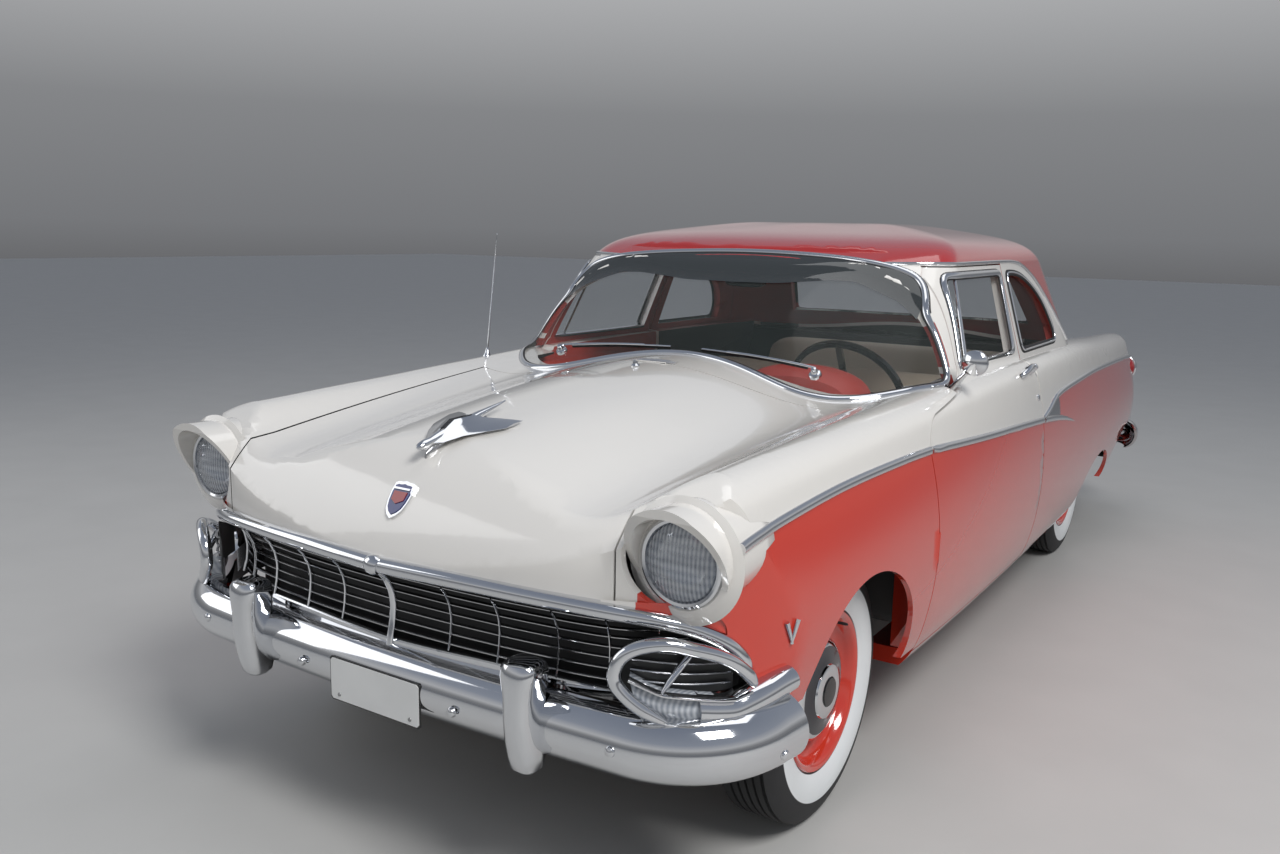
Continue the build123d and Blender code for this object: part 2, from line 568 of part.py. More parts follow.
# Engine as one block, gearbox with the shaft to the axle, radiator, exhaust and tank
with BuildPart() as engine_block:
    with BuildSketch(Plane.XZ.offset(-aft(-100))):
        with BuildLine():
            Polyline((-130, engine_bottom_z), (130, engine_bottom_z), (190, 420), (330, 640), (290, 800), (110, 880), (-110, 880), (-290, 800), (-330, 640), (-190, 420), (-130, engine_bottom_z))
        make_face()
    extrude(amount=-600)
save("engine_block", engine_block.part)
shaft_z = 330.0
with BuildPart() as driveline:
    with BuildSketch(Plane.XZ.offset(-aft(500.3))):
        with Locations((0, shaft_z + 10)):
            Circle(78)
    with BuildSketch(Plane.XZ.offset(-aft(980))):
        with Locations((0, shaft_z)):
            Circle(60)
    loft()
    with BuildSketch(Plane.XZ.offset(-aft(979))):
        with Locations((0, shaft_z)):
            Circle(36)
    extrude(amount=-(wheelbase - 118.4 - 979))
save("driveline", driveline.part)
with BuildPart() as radiator:
    with Locations((0, aft(-300), radiator_bottom_z + 240)):
        Box(640, 70, 480)
save("radiator", radiator.part)
pipe_z = 236.0
with BuildPart() as exhaust:
    with BuildLine() as pipe_line:
        FilletPolyline(
            (-235, aft(460), 330), (-235, aft(640), 330), (-235, aft(760), pipe_z), (-235, aft(wheelbase - 560), pipe_z), (-235, aft(wheelbase - 260), 452), (-235, aft(wheelbase + 260), 452),
            (-235, aft(wheelbase + 460), 345), (-235, tail_y - 60, 330), radius=90)
    with BuildSketch(Plane(pipe_line.line @ 0, z_dir=pipe_line.line % 0)):
        Circle(24)
    sweep()
    with BuildSketch(Plane.XZ.offset(-aft(1500))):
        with Locations((-235, pipe_z)):
            Circle(floor_z - 7 - seat_gap - pipe_z)
    extrude(amount=-440)
save("exhaust", exhaust.part)
with BuildPart() as fuel_tank:
    with Locations((90, aft(wheelbase + 820), trunk_floor_z - 7 - seat_gap - 80)):
        Box(560, 400, 160)
    fillet(fuel_tank.edges().filter_by(Axis.X), 30)
save("fuel_tank", fuel_tank.part)

# Floor with its firewall and tunnel, trunk floor with the seat bulkhead, sills and wheel housings
skin = 14.0
tunnel_half, tunnel_top = 125.0, 440.0
with BuildPart() as floor_tub:
    with BuildSketch(Plane.YZ.offset(-cabin_half_low + 6)):
        with BuildLine():
            floor_line = Polyline((firewall_y + 40, 960), (firewall_y + 40, 520), (firewall_y + 220, floor_z), (aft(2180), floor_z), (aft(2240), tunnel_top), (aft(2560), tunnel_top))
        trace(floor_line, line_width=skin)
    extrude(amount=2 * cabin_half_low - 12)
    with BuildSketch(Plane.XZ.offset(-firewall_y)):
        Polygon((-cabin_half_low + 6, 200), (cabin_half_low - 6, 200), (cabin_half_low - 6, 800), (cabin_half_high - 6, 1000), (-cabin_half_high + 6, 1000), (-cabin_half_low + 6, 800), align=None)
    extrude(amount=-2300, mode=Mode.INTERSECT)
    with Locations((0, (firewall_y + 60 + aft(2300)) / 2, (floor_z - 30 + tunnel_top) / 2)):
        Box(2 * tunnel_half, aft(2235) - firewall_y - 100, tunnel_top - floor_z + 30)
    with Locations((0, (firewall_y + 60 + aft(2300)) / 2 - 10, (floor_z - 60 + tunnel_top - skin) / 2)):
        Box(2 * (tunnel_half - skin), aft(2500) - firewall_y, tunnel_top - skin - floor_z + 60, mode=Mode.SUBTRACT)
with BuildPart() as trunk_floor:
    with BuildSketch(Plane.YZ.offset(-1000)):
        with BuildLine():
            trunk_line = Polyline((aft(2540), tunnel_top), (aft(2640), trunk_floor_z), (tail_y - 150, trunk_floor_z))
        trace(trunk_line, line_width=skin)
        with BuildLine():
            shelf_line = Polyline((aft(2630), trunk_floor_z), (aft(2700), 1000), (aft(2840), 1000))
        trace(shelf_line, line_width=skin)
    extrude(amount=2000)
trunk_floor_solid = (trunk_floor.part & inner) - quarter_left - quarter_left.mirror(Plane.YZ)
housing_radius = 402.0
wheel_hole = along_x([(-120, 0), (-120, housing_radius - skin), (300, housing_radius - skin), (300, 0)], rear_track / 2, rear_axle_y, axle_z)
housing_left = along_x([(-120 - skin, 0), (-120 - skin, housing_radius), (300, housing_radius), (300, 0)], rear_track / 2, rear_axle_y, axle_z)
housing_blocks = housing_left + housing_left.mirror(Plane.YZ)
housing_left = ((housing_left - wheel_hole) & inner & (Pos(0, rear_axle_y, 800) * Box(3000, 1000, 2 * (800 - 420)))) - quarter_left
sill_block = Pos(0, aft(1510), sill_z + sill_height / 2) * Box(2000, 2080, sill_height)
sill_core = Pos(0, aft(1510), sill_z + sill_height / 2) * Box(2 * 740, 3000, 200)
sills = (outer & sill_block) - sill_core - housing_blocks
front_floor = floor_tub.part - sills - housing_blocks
save("floor_tub", front_floor)
save("trunk_floor", trunk_floor_solid - front_floor - housing_blocks)
save("sills", sills)
save("wheel_housings", housing_left + housing_left.mirror(Plane.YZ))

# Seats, dashboard and steering gear
with BuildPart() as front_seat:
    with BuildSketch(Plane.YZ.offset(-660)):
        with BuildLine():
            Polyline((aft(1290), 452), (aft(1270), 560), (aft(1300), 605), (aft(1700), 585), (aft(1840), 930), (aft(1880), 950), (aft(1915), 925), (aft(1810), 470), (aft(1750), 448), (aft(1290), 452))
        make_face()
    extrude(amount=1320)
with BuildPart() as rear_seat:
    with BuildSketch(Plane.YZ.offset(-640)):
        with BuildLine():
            Polyline((aft(2100), 452), (aft(2080), 560), (aft(2110), 605), (aft(2400), 590), (aft(2560), 960), (aft(2600), 985), (aft(2660), 975), (aft(2600), 640), (aft(2500), 452), (aft(2100), 452))
        make_face()
    extrude(amount=1280)
with BuildPart() as dashboard:
    with BuildSketch(Plane.YZ.offset(-735)):
        with BuildLine():
            Polyline((firewall_y + 48, 985), (firewall_y + 60, 800), (aft(790), 800), (aft(830), 860), (aft(845), 985), (aft(800), 1010), (firewall_y + 80, 1010), (firewall_y + 48, 985))
        make_face()
    extrude(amount=1470)
save("front_seat", front_seat.part)
save("rear_seat", rear_seat.part)
wheel_centre = Vector(370, aft(1130), 955)
column_dir = Vector(0, -math.cos(math.radians(column_rake)), -math.sin(math.radians(column_rake)))
with BuildPart() as column_tube:
    with BuildSketch(Plane(origin=wheel_centre + column_dir * (16 + seat_gap), z_dir=column_dir)):
        Circle(26)
    extrude(amount=480)
with BuildPart() as steering_wheel:
    with BuildSketch(Plane(origin=wheel_centre, x_dir=(1, 0, 0), z_dir=column_dir)):
        Circle(steering_wheel_radius)
        Circle(steering_wheel_radius - 20, mode=Mode.SUBTRACT)
    extrude(amount=18)
    with BuildSketch(Plane(origin=wheel_centre + column_dir * 4, x_dir=(1, 0, 0), z_dir=column_dir)):
        Rectangle(2 * steering_wheel_radius - 20, 22)
        with Locations((0, steering_wheel_radius / 2)):
            Rectangle(22, steering_wheel_radius - 10)
        Circle(45)
    extrude(amount=12)
save("steering_wheel", steering_wheel.part)
save("steering_column", column_tube.part - dashboard.part)
save("dashboard", dashboard.part)


# Bumpers: a curved blade swept along its path in plan, drawn from the car's middle to its end
def bumper_blade(middle_y, shoulder, corner, end_length, height, depth, middle_z, facing):
    """One half of the blade. The shoulder and the corner are (x, y) points on the path of its root."""
    with BuildPart() as blade:
        with BuildLine() as path:
            front_run = TangentArc((0, middle_y, middle_z), (*shoulder, middle_z), tangent=(1, 0, 0))
            corner_run = TangentArc(front_run @ 1, (*corner, middle_z), tangent=front_run % 1)
            Line(corner_run @ 1, corner_run @ 1 + (corner_run % 1) * end_length)
        with BuildSketch(Plane(origin=(0, middle_y, middle_z), x_dir=(0, facing, 0), z_dir=(1, 0, 0))):
            with BuildLine():
                ThreePointArc((0, height / 2), (depth, 0), (0, -height / 2))
                Line((0, -height / 2), (-12, -height / 2))
                ThreePointArc((-12, -height / 2), (depth - 14, 0), (-12, height / 2))
                Line((-12, height / 2), (0, height / 2))
            make_face()
        sweep()
    return blade.part


front_blade = bumper_blade(aft(-740), (660, aft(-716)), (896, aft(-500)), 60, 150, 56, 450, -1)
rear_blade = bumper_blade(tail_y - 75, (704, tail_y - 98), (900, tail_y - 300), 30, 146, 54, 453, 1)


def guard(x, root_y, face_y, bottom, top):
    """An upright guard with a rounded nose, drawn in side view."""
    middle = (bottom + top) / 2
    with BuildPart() as horn:
        with BuildSketch(Plane.YZ.offset(x - 34)):
            with BuildLine():
                Line((root_y, bottom), (face_y + (root_y - face_y) * 0.45, bottom))
                ThreePointArc((face_y + (root_y - face_y) * 0.45, bottom), (face_y, middle - 10), (face_y + (root_y - face_y) * 0.25, top))
                Line((face_y + (root_y - face_y) * 0.25, top), (root_y, top))
                Line((root_y, top), (root_y, bottom))
            make_face()
        extrude(amount=68)
    return horn.part


front_guard = guard(450, aft(-757), aft(-front_overhang), 352, 612)
rear_guard = guard(470, tail_y - 62, tail_y, 362, 560)
front_arm = Pos(420, aft(-707.2), 440) * Box(50, 133.4, 60)
rear_arm = Pos(420, tail_y - 96.3, 440) * Box(50, 106.4, 60)
front_half = front_blade + front_guard + front_arm
rear_half = rear_blade + rear_guard + rear_arm
save("front_bumper", front_half + front_half.mirror(Plane.YZ))
save("rear_bumper", rear_half + rear_half.mirror(Plane.YZ))


# Grille: bars that follow the bowed front, in a heavy surround
def bowed_band(depth_from, depth_to):
    """A strip in plan that follows the front between two depths behind it."""
    lines = []
    for depth in (depth_from, depth_to):
        lines.append([(0, aft(-772 + depth)), (350, aft(-756 + depth)), (640, aft(-700 + depth)), (790, aft(-612 + depth))])
    with BuildSketch() as band:
        with BuildLine():
            Spline(*lines[0], tangents=((1, 0), (1, 0.75)))
            Line(lines[0][-1], lines[1][-1])
            Spline(*reversed(lines[1]), tangents=((-1, -0.75), (-1, 0)))
            mirror(about=Plane.YZ)
        make_face()
    return band.sketch


with BuildPart() as grille:
    for level, height, depth_from, depth_to in [(708, 24, -10, 40), (528, 16, -4, 34)]:
        add(extrude(Plane.XY.offset(level) * bowed_band(depth_from, depth_to), amount=height))
    for index in range(5):
        add(extrude(Plane.XY.offset(566 + 29 * index) * bowed_band(6, 22), amount=8))
    for index in range(-4, 5):
        x = index * 140
        with Locations((x, aft(-746 + 0.000152 * x * x), 625)):
            Box(8, 16, 184)
save("parking_lamps", *both(parking_pod.part))
save("grille", grille.part - parking_pod.part - parking_pod.part.mirror(Plane.YZ))
with BuildPart() as mirror_body:
    with Locations((900, aft(819), 1130)):
        Sphere(40)
    with BuildSketch(Plane(origin=(900, aft(819), 1130), z_dir=(-0.62, 0, -0.78))):
        Circle(9)
    extrude(amount=118)
save("door_mirror", (mirror_body.part & (Pos(900, aft(819) + 200, 1130) * Box(400, 420, 400))) - door_left)
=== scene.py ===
import json
import math
import bpy
import bmesh
from mathutils import Matrix, Vector
from mathutils.bvhtree import BVHTree

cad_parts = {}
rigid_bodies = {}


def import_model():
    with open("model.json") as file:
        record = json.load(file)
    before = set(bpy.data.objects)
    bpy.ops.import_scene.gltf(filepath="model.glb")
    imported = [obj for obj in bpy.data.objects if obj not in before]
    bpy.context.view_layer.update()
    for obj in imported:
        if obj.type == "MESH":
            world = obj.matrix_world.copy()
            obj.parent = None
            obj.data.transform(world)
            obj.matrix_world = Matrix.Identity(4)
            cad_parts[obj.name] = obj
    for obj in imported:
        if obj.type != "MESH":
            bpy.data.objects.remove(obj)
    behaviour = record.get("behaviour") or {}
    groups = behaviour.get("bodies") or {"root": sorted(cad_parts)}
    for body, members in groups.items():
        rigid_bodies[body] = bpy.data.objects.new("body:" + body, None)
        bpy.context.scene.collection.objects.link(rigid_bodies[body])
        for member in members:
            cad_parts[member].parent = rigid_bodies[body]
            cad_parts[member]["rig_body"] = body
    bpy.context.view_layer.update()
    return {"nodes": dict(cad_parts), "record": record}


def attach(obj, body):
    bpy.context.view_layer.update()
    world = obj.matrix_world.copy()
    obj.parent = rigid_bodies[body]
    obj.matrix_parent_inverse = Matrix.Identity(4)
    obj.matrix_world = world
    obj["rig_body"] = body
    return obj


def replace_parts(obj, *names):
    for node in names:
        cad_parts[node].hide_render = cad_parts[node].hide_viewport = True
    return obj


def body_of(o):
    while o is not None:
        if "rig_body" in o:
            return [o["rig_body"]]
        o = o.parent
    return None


# A two-door saloon of the 1950s. Lengths in the tables are millimetres, from the front axle backwards, from
# the car's middle to its left, and up from the ground. Every object is in metres in the row frame.
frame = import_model()
nodes = frame["nodes"]
bodies = frame["record"]["behaviour"]["bodies"]
body_of_node = {node: body for body, members in bodies.items() for node in members}
axle_to_origin = 1683.0


def aft(distance):
    """Y of a place so far behind the front axle."""
    return (distance - axle_to_origin) / 1000


def at(x, distance, z):
    return Vector((x / 1000, aft(distance), z / 1000))


# Camera, solved from the photograph: at eye level, in front of the car's left front corner, and looking
# back over the car and a little down.
yaw, pitch, roll = math.radians(32.891), math.radians(-10.383), math.radians(1.1096)
ahead = Vector((-math.sin(yaw) * math.cos(pitch), math.cos(yaw) * math.cos(pitch), math.sin(pitch)))
right = ahead.cross(Vector((0, 0, 1))).normalized()
up = right.cross(ahead)
camera_x = right * math.cos(roll) + up * math.sin(roll)
camera_y = up * math.cos(roll) - right * math.sin(roll)
lens = bpy.data.cameras.new("camera")
lens.lens, lens.sensor_width, lens.clip_end = 30.29, 36.0, 60.0
camera = bpy.data.objects.new("camera", lens)
bpy.context.collection.objects.link(camera)
camera_turn = Matrix((camera_x, camera_y, -ahead)).transposed().to_4x4()
camera.matrix_world = Matrix.Translation((1.818, -4.152, 1.510)) @ camera_turn
bpy.context.scene.camera = camera
bpy.context.scene.view_settings.view_transform = "Standard"


# Frame and underbody: pressed steel, welded together and sprayed with black underbody paint. They are the
# CAD pieces themselves, with their surfaces welded and shaded smooth.
class Nodes:
    """A node tree that grows by one node at a time."""

    def __init__(self, tree):
        self.tree = tree

    def add(self, kind, inputs=None, output=0, **settings):
        """A new node; its inputs are set to values, colours or other nodes' results."""
        node = self.tree.nodes.new("ShaderNode" + kind)
        for name, value in settings.items():
            setattr(node, name, value)
        for slot, value in (inputs or {}).items():
            if isinstance(value, Shade):
                self.tree.links.new(value.socket, node.inputs[slot])
            else:
                node.inputs[slot].default_value = (*value, 1.0) if isinstance(value, tuple) else value
        return Shade(self, node.outputs[output])


class Shade:
    """A node's result. Sums, differences and products with it add nodes for the same maths."""

    def __init__(self, owner, socket):
        self.owner, self.socket = owner, socket

    def maths(self, operation, *others, clamp=False):
        values = dict(enumerate((self,) + others))
        return self.owner.add("Math", values, operation=operation, use_clamp=clamp)

    def __add__(self, other):
        return self.maths("ADD", other)

    def __sub__(self, other):
        return self.maths("SUBTRACT", other)

    def __rsub__(self, other):
        return self.owner.add("Math", {0: other, 1: self}, operation="SUBTRACT")

    def __mul__(self, other):
        return self.maths("MULTIPLY", other)

    def __neg__(self):
        return self.maths("MULTIPLY", -1.0)

    __radd__, __rmul__ = __add__, __mul__

    def over(self, limit, soft=0.0005):
        """1 where this is above the limit, 0 below, with a soft step."""
        return (self - limit).maths("MULTIPLY_ADD", 0.5 / soft, 0.5, clamp=True)


class Paintbox(Nodes):
    """One material with its Principled shader and the sources that its patterns use."""

    def __init__(self, name, color, roughness, metallic=0.0, coat=0.0, alpha=1.0):
        self.material = bpy.data.materials.new(name)
        self.material.use_nodes = True
        super().__init__(self.material.node_tree)
        self.shader = self.tree.nodes["Principled BSDF"]
        for slot, value in {
                "Base Color": color, "Roughness": roughness, "Metallic": metallic, "Coat Weight": coat,
                "Coat Roughness": 0.04, "Alpha": alpha}.items():
            self.set(slot, value)
        self.place = self.add("TexCoord", output="Object")
        parts = self.add("SeparateXYZ", {0: self.place}).socket.node.outputs
        self.x, self.y, self.z = (Shade(self, part) for part in parts)

    def set(self, slot, value):
        if isinstance(value, Shade):
            self.tree.links.new(value.socket, self.shader.inputs[slot])
        else:
            self.shader.inputs[slot].default_value = (*value, 1.0) if isinstance(value, tuple) else value

    def noise(self, scale, detail=3.0):
        return self.add("TexNoise", {"Vector": self.place, "Scale": scale, "Detail": detail})

    def wave(self, scale, way):
        return self.add("TexWave", {"Vector": self.place, "Scale": scale}, "Fac", bands_direction=way)

    def mix(self, factor, first, second):
        """The first colour where the factor is 0, the second where it is 1."""
        return self.add("Mix", {0: factor, 6: first, 7: second}, 2, data_type="RGBA")

    def cloudy(self, color, amount, scale):
        """The colour, a little darker and lighter in soft patches."""
        dark, light = (tuple(min(1.0, part * k) for part in color) for k in (1 - amount, 1 + amount))
        return self.mix(self.noise(scale), dark, light)

    def bump(self, height, strength, distance):
        """The finished material, with this height as its relief."""
        self.set("Normal", self.add("Bump", {"Strength": strength, "Distance": distance, "Height": height}))
        return self.material


def plain(name, color, rough, metallic=0.0, grain=90.0, depth=0.0003):
    stuff = Paintbox(name, color, rough, metallic)
    stuff.set("Base Color", stuff.cloudy(color, 0.12, 6))
    stuff.set("Roughness", stuff.noise(12) * 0.2 + rough - 0.1)
    return stuff.bump(stuff.noise(grain), 0.3, depth)


def placed(name, mesh, body):
    obj = bpy.data.objects.new(name, mesh)
    bpy.context.collection.objects.link(obj)
    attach(obj, body)
    return obj


cad_weld = 2e-5
car_core, core_low, core_high, waist = 2.1, 0.55, 1.0, 1.1


def panel(node, material, inside=None, inward=-0.25, left_out=None):
    """A CAD piece as it is. Faces that look at the middle of the car get the inside material."""
    mesh = nodes[node].data.copy()
    work = bmesh.new()
    work.from_mesh(mesh)
    bmesh.ops.remove_doubles(work, verts=work.verts, dist=cad_weld)
    if left_out:
        bmesh.ops.delete(work, geom=[face for face in work.faces if left_out(face)], context="FACES")
    work.to_mesh(mesh)
    work.free()
    mesh.materials.clear()
    mesh.materials.append(material)
    if inside:
        mesh.materials.append(inside)
    for face in mesh.polygons:
        x, y, z = face.center
        core = Vector((x * 0.6, min(max(y, -car_core), car_core), core_low if z < waist else core_high))
        outward = face.center - core
        face.material_index = int(bool(inside) and face.normal.dot(outward) < inward * outward.length)
    mesh.shade_smooth()
    mesh.set_sharp_from_angle(angle=math.radians(28))
    obj = placed("panel_" + node, mesh, body_of_node[node])
    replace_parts(obj, node)


black_paint = plain("black_paint", (0.012, 0.012, 0.012), 0.5)
for node in ("floor_tub", "chassis_frame", "front_suspension", "trunk_floor", "wheel_housings"):
    panel(node, black_paint)

# Axle, knuckles and propeller shaft: cast and forged iron, left bare and a little rusty. The rear axle hangs
# on its leaf springs, and each knuckle turns on its pivot at the end of the front arms.
iron = plain("iron", (0.06, 0.055, 0.05), 0.55, 0.4)
for node in ("rear_axle", "knuckle_left", "knuckle_right", "driveline"):
    panel(node, iron)

# Engine, radiator, exhaust and fuel tank: a painted cast block on its mounts, a black radiator behind the
# grille, a steel pipe and silencer hung under the floor, and a zinc-coated tank strapped under the trunk.
panel("engine_block", plain("engine_paint", (0.07, 0.05, 0.045), 0.5, 0.2, 30, 0.002))
panel("radiator", black_paint)
panel("exhaust", plain("exhaust_steel", (0.20, 0.17, 0.15), 0.55, 0.7))
zinc = plain("zinc", (0.34, 0.34, 0.34), 0.4, 0.8)
panel("fuel_tank", zinc)

# Wheels: a moulded rubber tyre with a white band and a grooved tread, on a pressed steel rim in the body's
# colour. A pressed chrome cap with a dark dish snaps over the disc, and a valve comes through the rim.
coral = (0.62, 0.043, 0.022)
wheelbase, wheel_radius, front_half_track, rear_half_track = 2934.0, 345, 736.5, 711.0
white_from, white_to, sidewall_from = 0.2145, 0.2835, 0.742


def sprayed(paint, color, least_rough=0.12):
    """Sprayed and polished paint, with its slight orange peel."""
    paint.set("Base Color", color)
    paint.set("Roughness", paint.noise(1.6) * 0.06 + least_rough)
    return paint.bump(paint.noise(420, 1), 0.04, 0.0002)


def enamel(name, color, rough=0.14):
    paint = Paintbox(name, color, rough, 0.0, 1.0)
    return sprayed(paint, paint.cloudy(color, 0.03, 2.5), rough - 0.03)


def plating(name, color=(0.74, 0.75, 0.77), rough=0.05):
    metal = Paintbox(name, color, rough, 1.0)
    metal.set("Base Color", metal.cloudy(color, 0.04, 9))
    metal.set("Roughness", metal.noise(14, 4) * 0.05 + rough - 0.01)
    return metal.bump(metal.noise(60, 2), 0.03, 0.0002)


def tyre_rubber(name, axle_y):
    """Black rubber with a white band on the sidewall, and mould marks beside it."""
    rubber = Paintbox(name, (0.02, 0.02, 0.02), 0.6)
    dy, dz = rubber.y - axle_y, rubber.z - wheel_radius / 1000
    radius = (dy * dy + dz * dz).maths("SQRT")
    band = radius.over(white_from, 0.0008) * (-radius).over(-white_to, 0.0008)
    white = band * rubber.x.maths("ABSOLUTE").over(sidewall_from, 0.002)
    black_part = rubber.cloudy((0.018, 0.018, 0.019), 0.3, 12)
    rubber.set("Base Color", rubber.mix(white, black_part, rubber.cloudy((0.80, 0.82, 0.82), 0.03, 16)))
    rubber.set("Roughness", rubber.mix(white, (0.66, 0.66, 0.66), (0.42, 0.42, 0.42)))
    marks = (radius * 900).maths("SINE") * 0.2 + rubber.noise(160) * 0.5
    return rubber.bump(marks * (1 - white), 0.25, 0.0006)


def piece(name, verts, faces, material, body="car", sharp=35):
    """A welded mesh with its faces looking outwards, smooth but for edges above the sharp angle."""
    mesh = bpy.data.meshes.new(name)
    mesh.from_pydata([tuple(v) for v in verts], [], faces)
    work = bmesh.new()
    work.from_mesh(mesh)
    bmesh.ops.remove_doubles(work, verts=work.verts, dist=1e-6)
    bmesh.ops.recalc_face_normals(work, faces=work.faces)
    work.to_mesh(mesh)
    work.free()
    mesh.shade_smooth()
    mesh.set_sharp_from_angle(angle=math.radians(sharp))
    mesh.materials.append(material)
    return placed(name, mesh, body)


def grid(rows, count, rows_close=False, points_close=False):
    """The faces between neighbouring rows that have the same number of points."""
    faces = []
    for i in range(rows if rows_close else rows - 1):
        near, far = i * count, (i + 1) % rows * count
        for j in range(count if points_close else count - 1):
            beside = (j + 1) % count
            faces.append((near + j, near + beside, far + beside, far + j))
    return faces


def turned(name, profile, centre, axis, material, body="car", steps=72, sharp=30, whole=False):
    """A shape turned about an axis. Profile points are (along the axis, radius) in mm."""
    axis = Vector(axis).normalized()
    side = (Vector((0, 0, 1)) if abs(axis.z) < 0.9 else Vector((1, 0, 0))).cross(axis).normalized()
    other = axis.cross(side)
    verts = []
    for step in range(steps):
        angle = 2 * math.pi * step / steps
        spoke = side * math.cos(angle) + other * math.sin(angle)
        verts += [centre + axis * (along / 1000) + spoke * (radius / 1000) for along, radius in profile]
    return piece(name, verts, grid(steps, len(profile), True, whole), material, body, sharp)


coral_paint = enamel("coral_paint", coral)
chrome = plating("chrome")
dark_chrome = plating("dark_chrome", (0.10, 0.10, 0.11), 0.1)
gloss_black = plain("gloss_black", (0.008, 0.008, 0.009), 0.14, 0.0, 40, 0.0001)
seal = plain("rubber_seal", (0.016, 0.016, 0.017), 0.65)
rubbers = {0: tyre_rubber("front_tyre", aft(0)), wheelbase: tyre_rubber("rear_tyre", aft(wheelbase))}
sidewall = [
    (-60, 194), (-68, 206), (-78, 222), (-85, 243), (-88, 264), (-86, 290), (-80, 314), (-72, 330),
    (-64, 340)]
tread = [(-62, 343)]
for rib in (-45, -22.5, 0, 22.5, 45):
    tread += [(rib - 8, wheel_radius - abs(rib) / 30), (rib - 8, wheel_radius), (rib + 7, wheel_radius)]
    tread += [(rib + 8, 338), (rib + 13, 338)]
tread = [p for p in tread if p[0] < 55] + [(62, 343)]
tyre_profile = sidewall + tread + [(-a, r) for a, r in reversed(sidewall)]
rim_profile = [
    (-70, 184), (-73, 204), (-67, 208), (-63, 192), (-24, 189), (-12, 168), (20, 168), (36, 190), (62, 192),
    (64, 206), (71, 212), (76, 208), (75, 199), (68, 191), (50, 186), (38, 181), (30, 168), (25, 156),
    (22, 149), (27, 142), (40, 134), (44, 120), (42, 60), (42, 21), (20, 21), (-62, 21), (-62, 139),
    (8, 139), (-2, 157), (-26, 182)]
cap_parts = [
    ("cap", chrome, 80, [(34, 139), (37, 141), (42, 139), (56, 133), (64, 124), (66, 116)]),
    ("cap_dish", dark_chrome, 80, [(66, 116), (68, 100), (72, 84), (75, 72)]),
    ("cap_ring", chrome, 80, [(75, 72), (80, 70), (83, 62), (84, 50), (83, 40)]),
    ("cap_boss", gloss_black, 64, [(83, 40), (86, 37), (87, 20), (87, 0)])]
valve_profile = [(-10, 0), (-10, 4), (16, 4), (22, 2.5), (22, 0)]
for name, x, distance in [
        ("front_left", front_half_track, 0), ("front_right", -front_half_track, 0),
        ("rear_left", rear_half_track, wheelbase), ("rear_right", -rear_half_track, wheelbase)]:
    body, sign = name + "_wheel", math.copysign(1, x)
    centre, axis = at(x, distance, wheel_radius), (sign, 0, 0)
    tyre = turned("tyre_visual_" + name, tyre_profile, centre, axis, rubbers[distance], body, 96, 40)
    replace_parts(tyre, "tyre_" + name)
    rim = turned("rim_visual_" + name, rim_profile, centre, axis, coral_paint, body, 80, 40, whole=True)
    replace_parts(rim, "wheel_" + name)
    for part, material, steps, profile in cap_parts:
        turned(f"{part}_{name}", profile, centre, axis, material, body, steps)
    valve = centre + Vector((sign * 0.068, 0.085, 0.158))
    turned("valve_" + name, valve_profile, valve, axis, seal, body, 16)

# Body sides, rear deck and trunk lid: pressed sheet steel, sprayed in coral below and cream above. The
# colours meet under the side mouldings. The doors hang on front hinges and have vinyl on their inner sides.
cream = (0.80, 0.77, 0.72)
left_door, right_door = "door_left_body", "door_right_body"
# The line between the two colours, as (distance behind the front axle, height)
paint_line = [
    (-900, 872), (-694, 880), (-515, 892), (-114, 914), (479, 917), (965, 887), (1600, 848), (1660, 852),
    (1760, 880), (1864, 907), (2217, 919), (2696, 921), (3400, 902), (4100, 862)]
nose_end, nose_side = -560, 0.668


def edge_height(paint, line, start, span, low, rise):
    """Height of a smooth line of (distance, height) points, at each distance within its span."""
    graph = paint.add("FloatCurve", {"Value": (paint.y - aft(start)) * (1000 / span)})
    mapping = graph.socket.node.mapping
    points = [((d - start) / span, (z - low) / rise) for d, z in line]
    curve = mapping.curves[0].points
    curve[0].location, curve[1].location = points[0], points[-1]
    for point in points[1:-1]:
        curve.new(*point)
    mapping.update()
    return graph * (rise / 1000) + low / 1000


def two_tone(name):
    paint = Paintbox(name, coral, 0.16, 0.0, 1.0)
    above = (paint.z - edge_height(paint, paint_line, -900, 5000, 800, 150)).over(0.0)
    # Below the headlamp the light colour ends at the hood's corner
    nose = (-paint.y).over(-aft(nose_end)) * (-paint.x.maths("ABSOLUTE")).over(-nose_side)
    light = above.maths("MAXIMUM", nose)
    return sprayed(paint, paint.mix(light, paint.cloudy(coral, 0.03, 2.5), paint.cloudy(cream, 0.02, 2.5)))


body_paint = two_tone("body_paint")
red_vinyl = plain("red_vinyl", (0.36, 0.035, 0.025), 0.45, 0.0, 260, 0.0006)
for node in ("fender_left", "fender_right", "quarter_left", "quarter_right", "trunk_lid", "rear_deck"):
    panel(node, body_paint, black_paint)
panel("sills", body_paint)
for node in ("door_left", "door_right"):
    panel(node, body_paint, red_vinyl)

# Hood, cowl, front pan and headlamp bezels: pressed sheet steel in the lighter colour. The hood turns on
# hinges at its rear edge, and the bezels are bolted to the fenders round the lamps.
light_paint = enamel("light_paint", cream)
for node in ("hood", "cowl", "front_pan"):
    panel(node, light_paint, black_paint)
panel("headlamp_bezels", light_paint)

# Roof and pillars: a pressed roof in dark red, welded to cream pillars and lined with cloth. The drip rail
# parts the two colours where the roof comes down behind the quarter windows.
roof_red = (0.42, 0.022, 0.020)
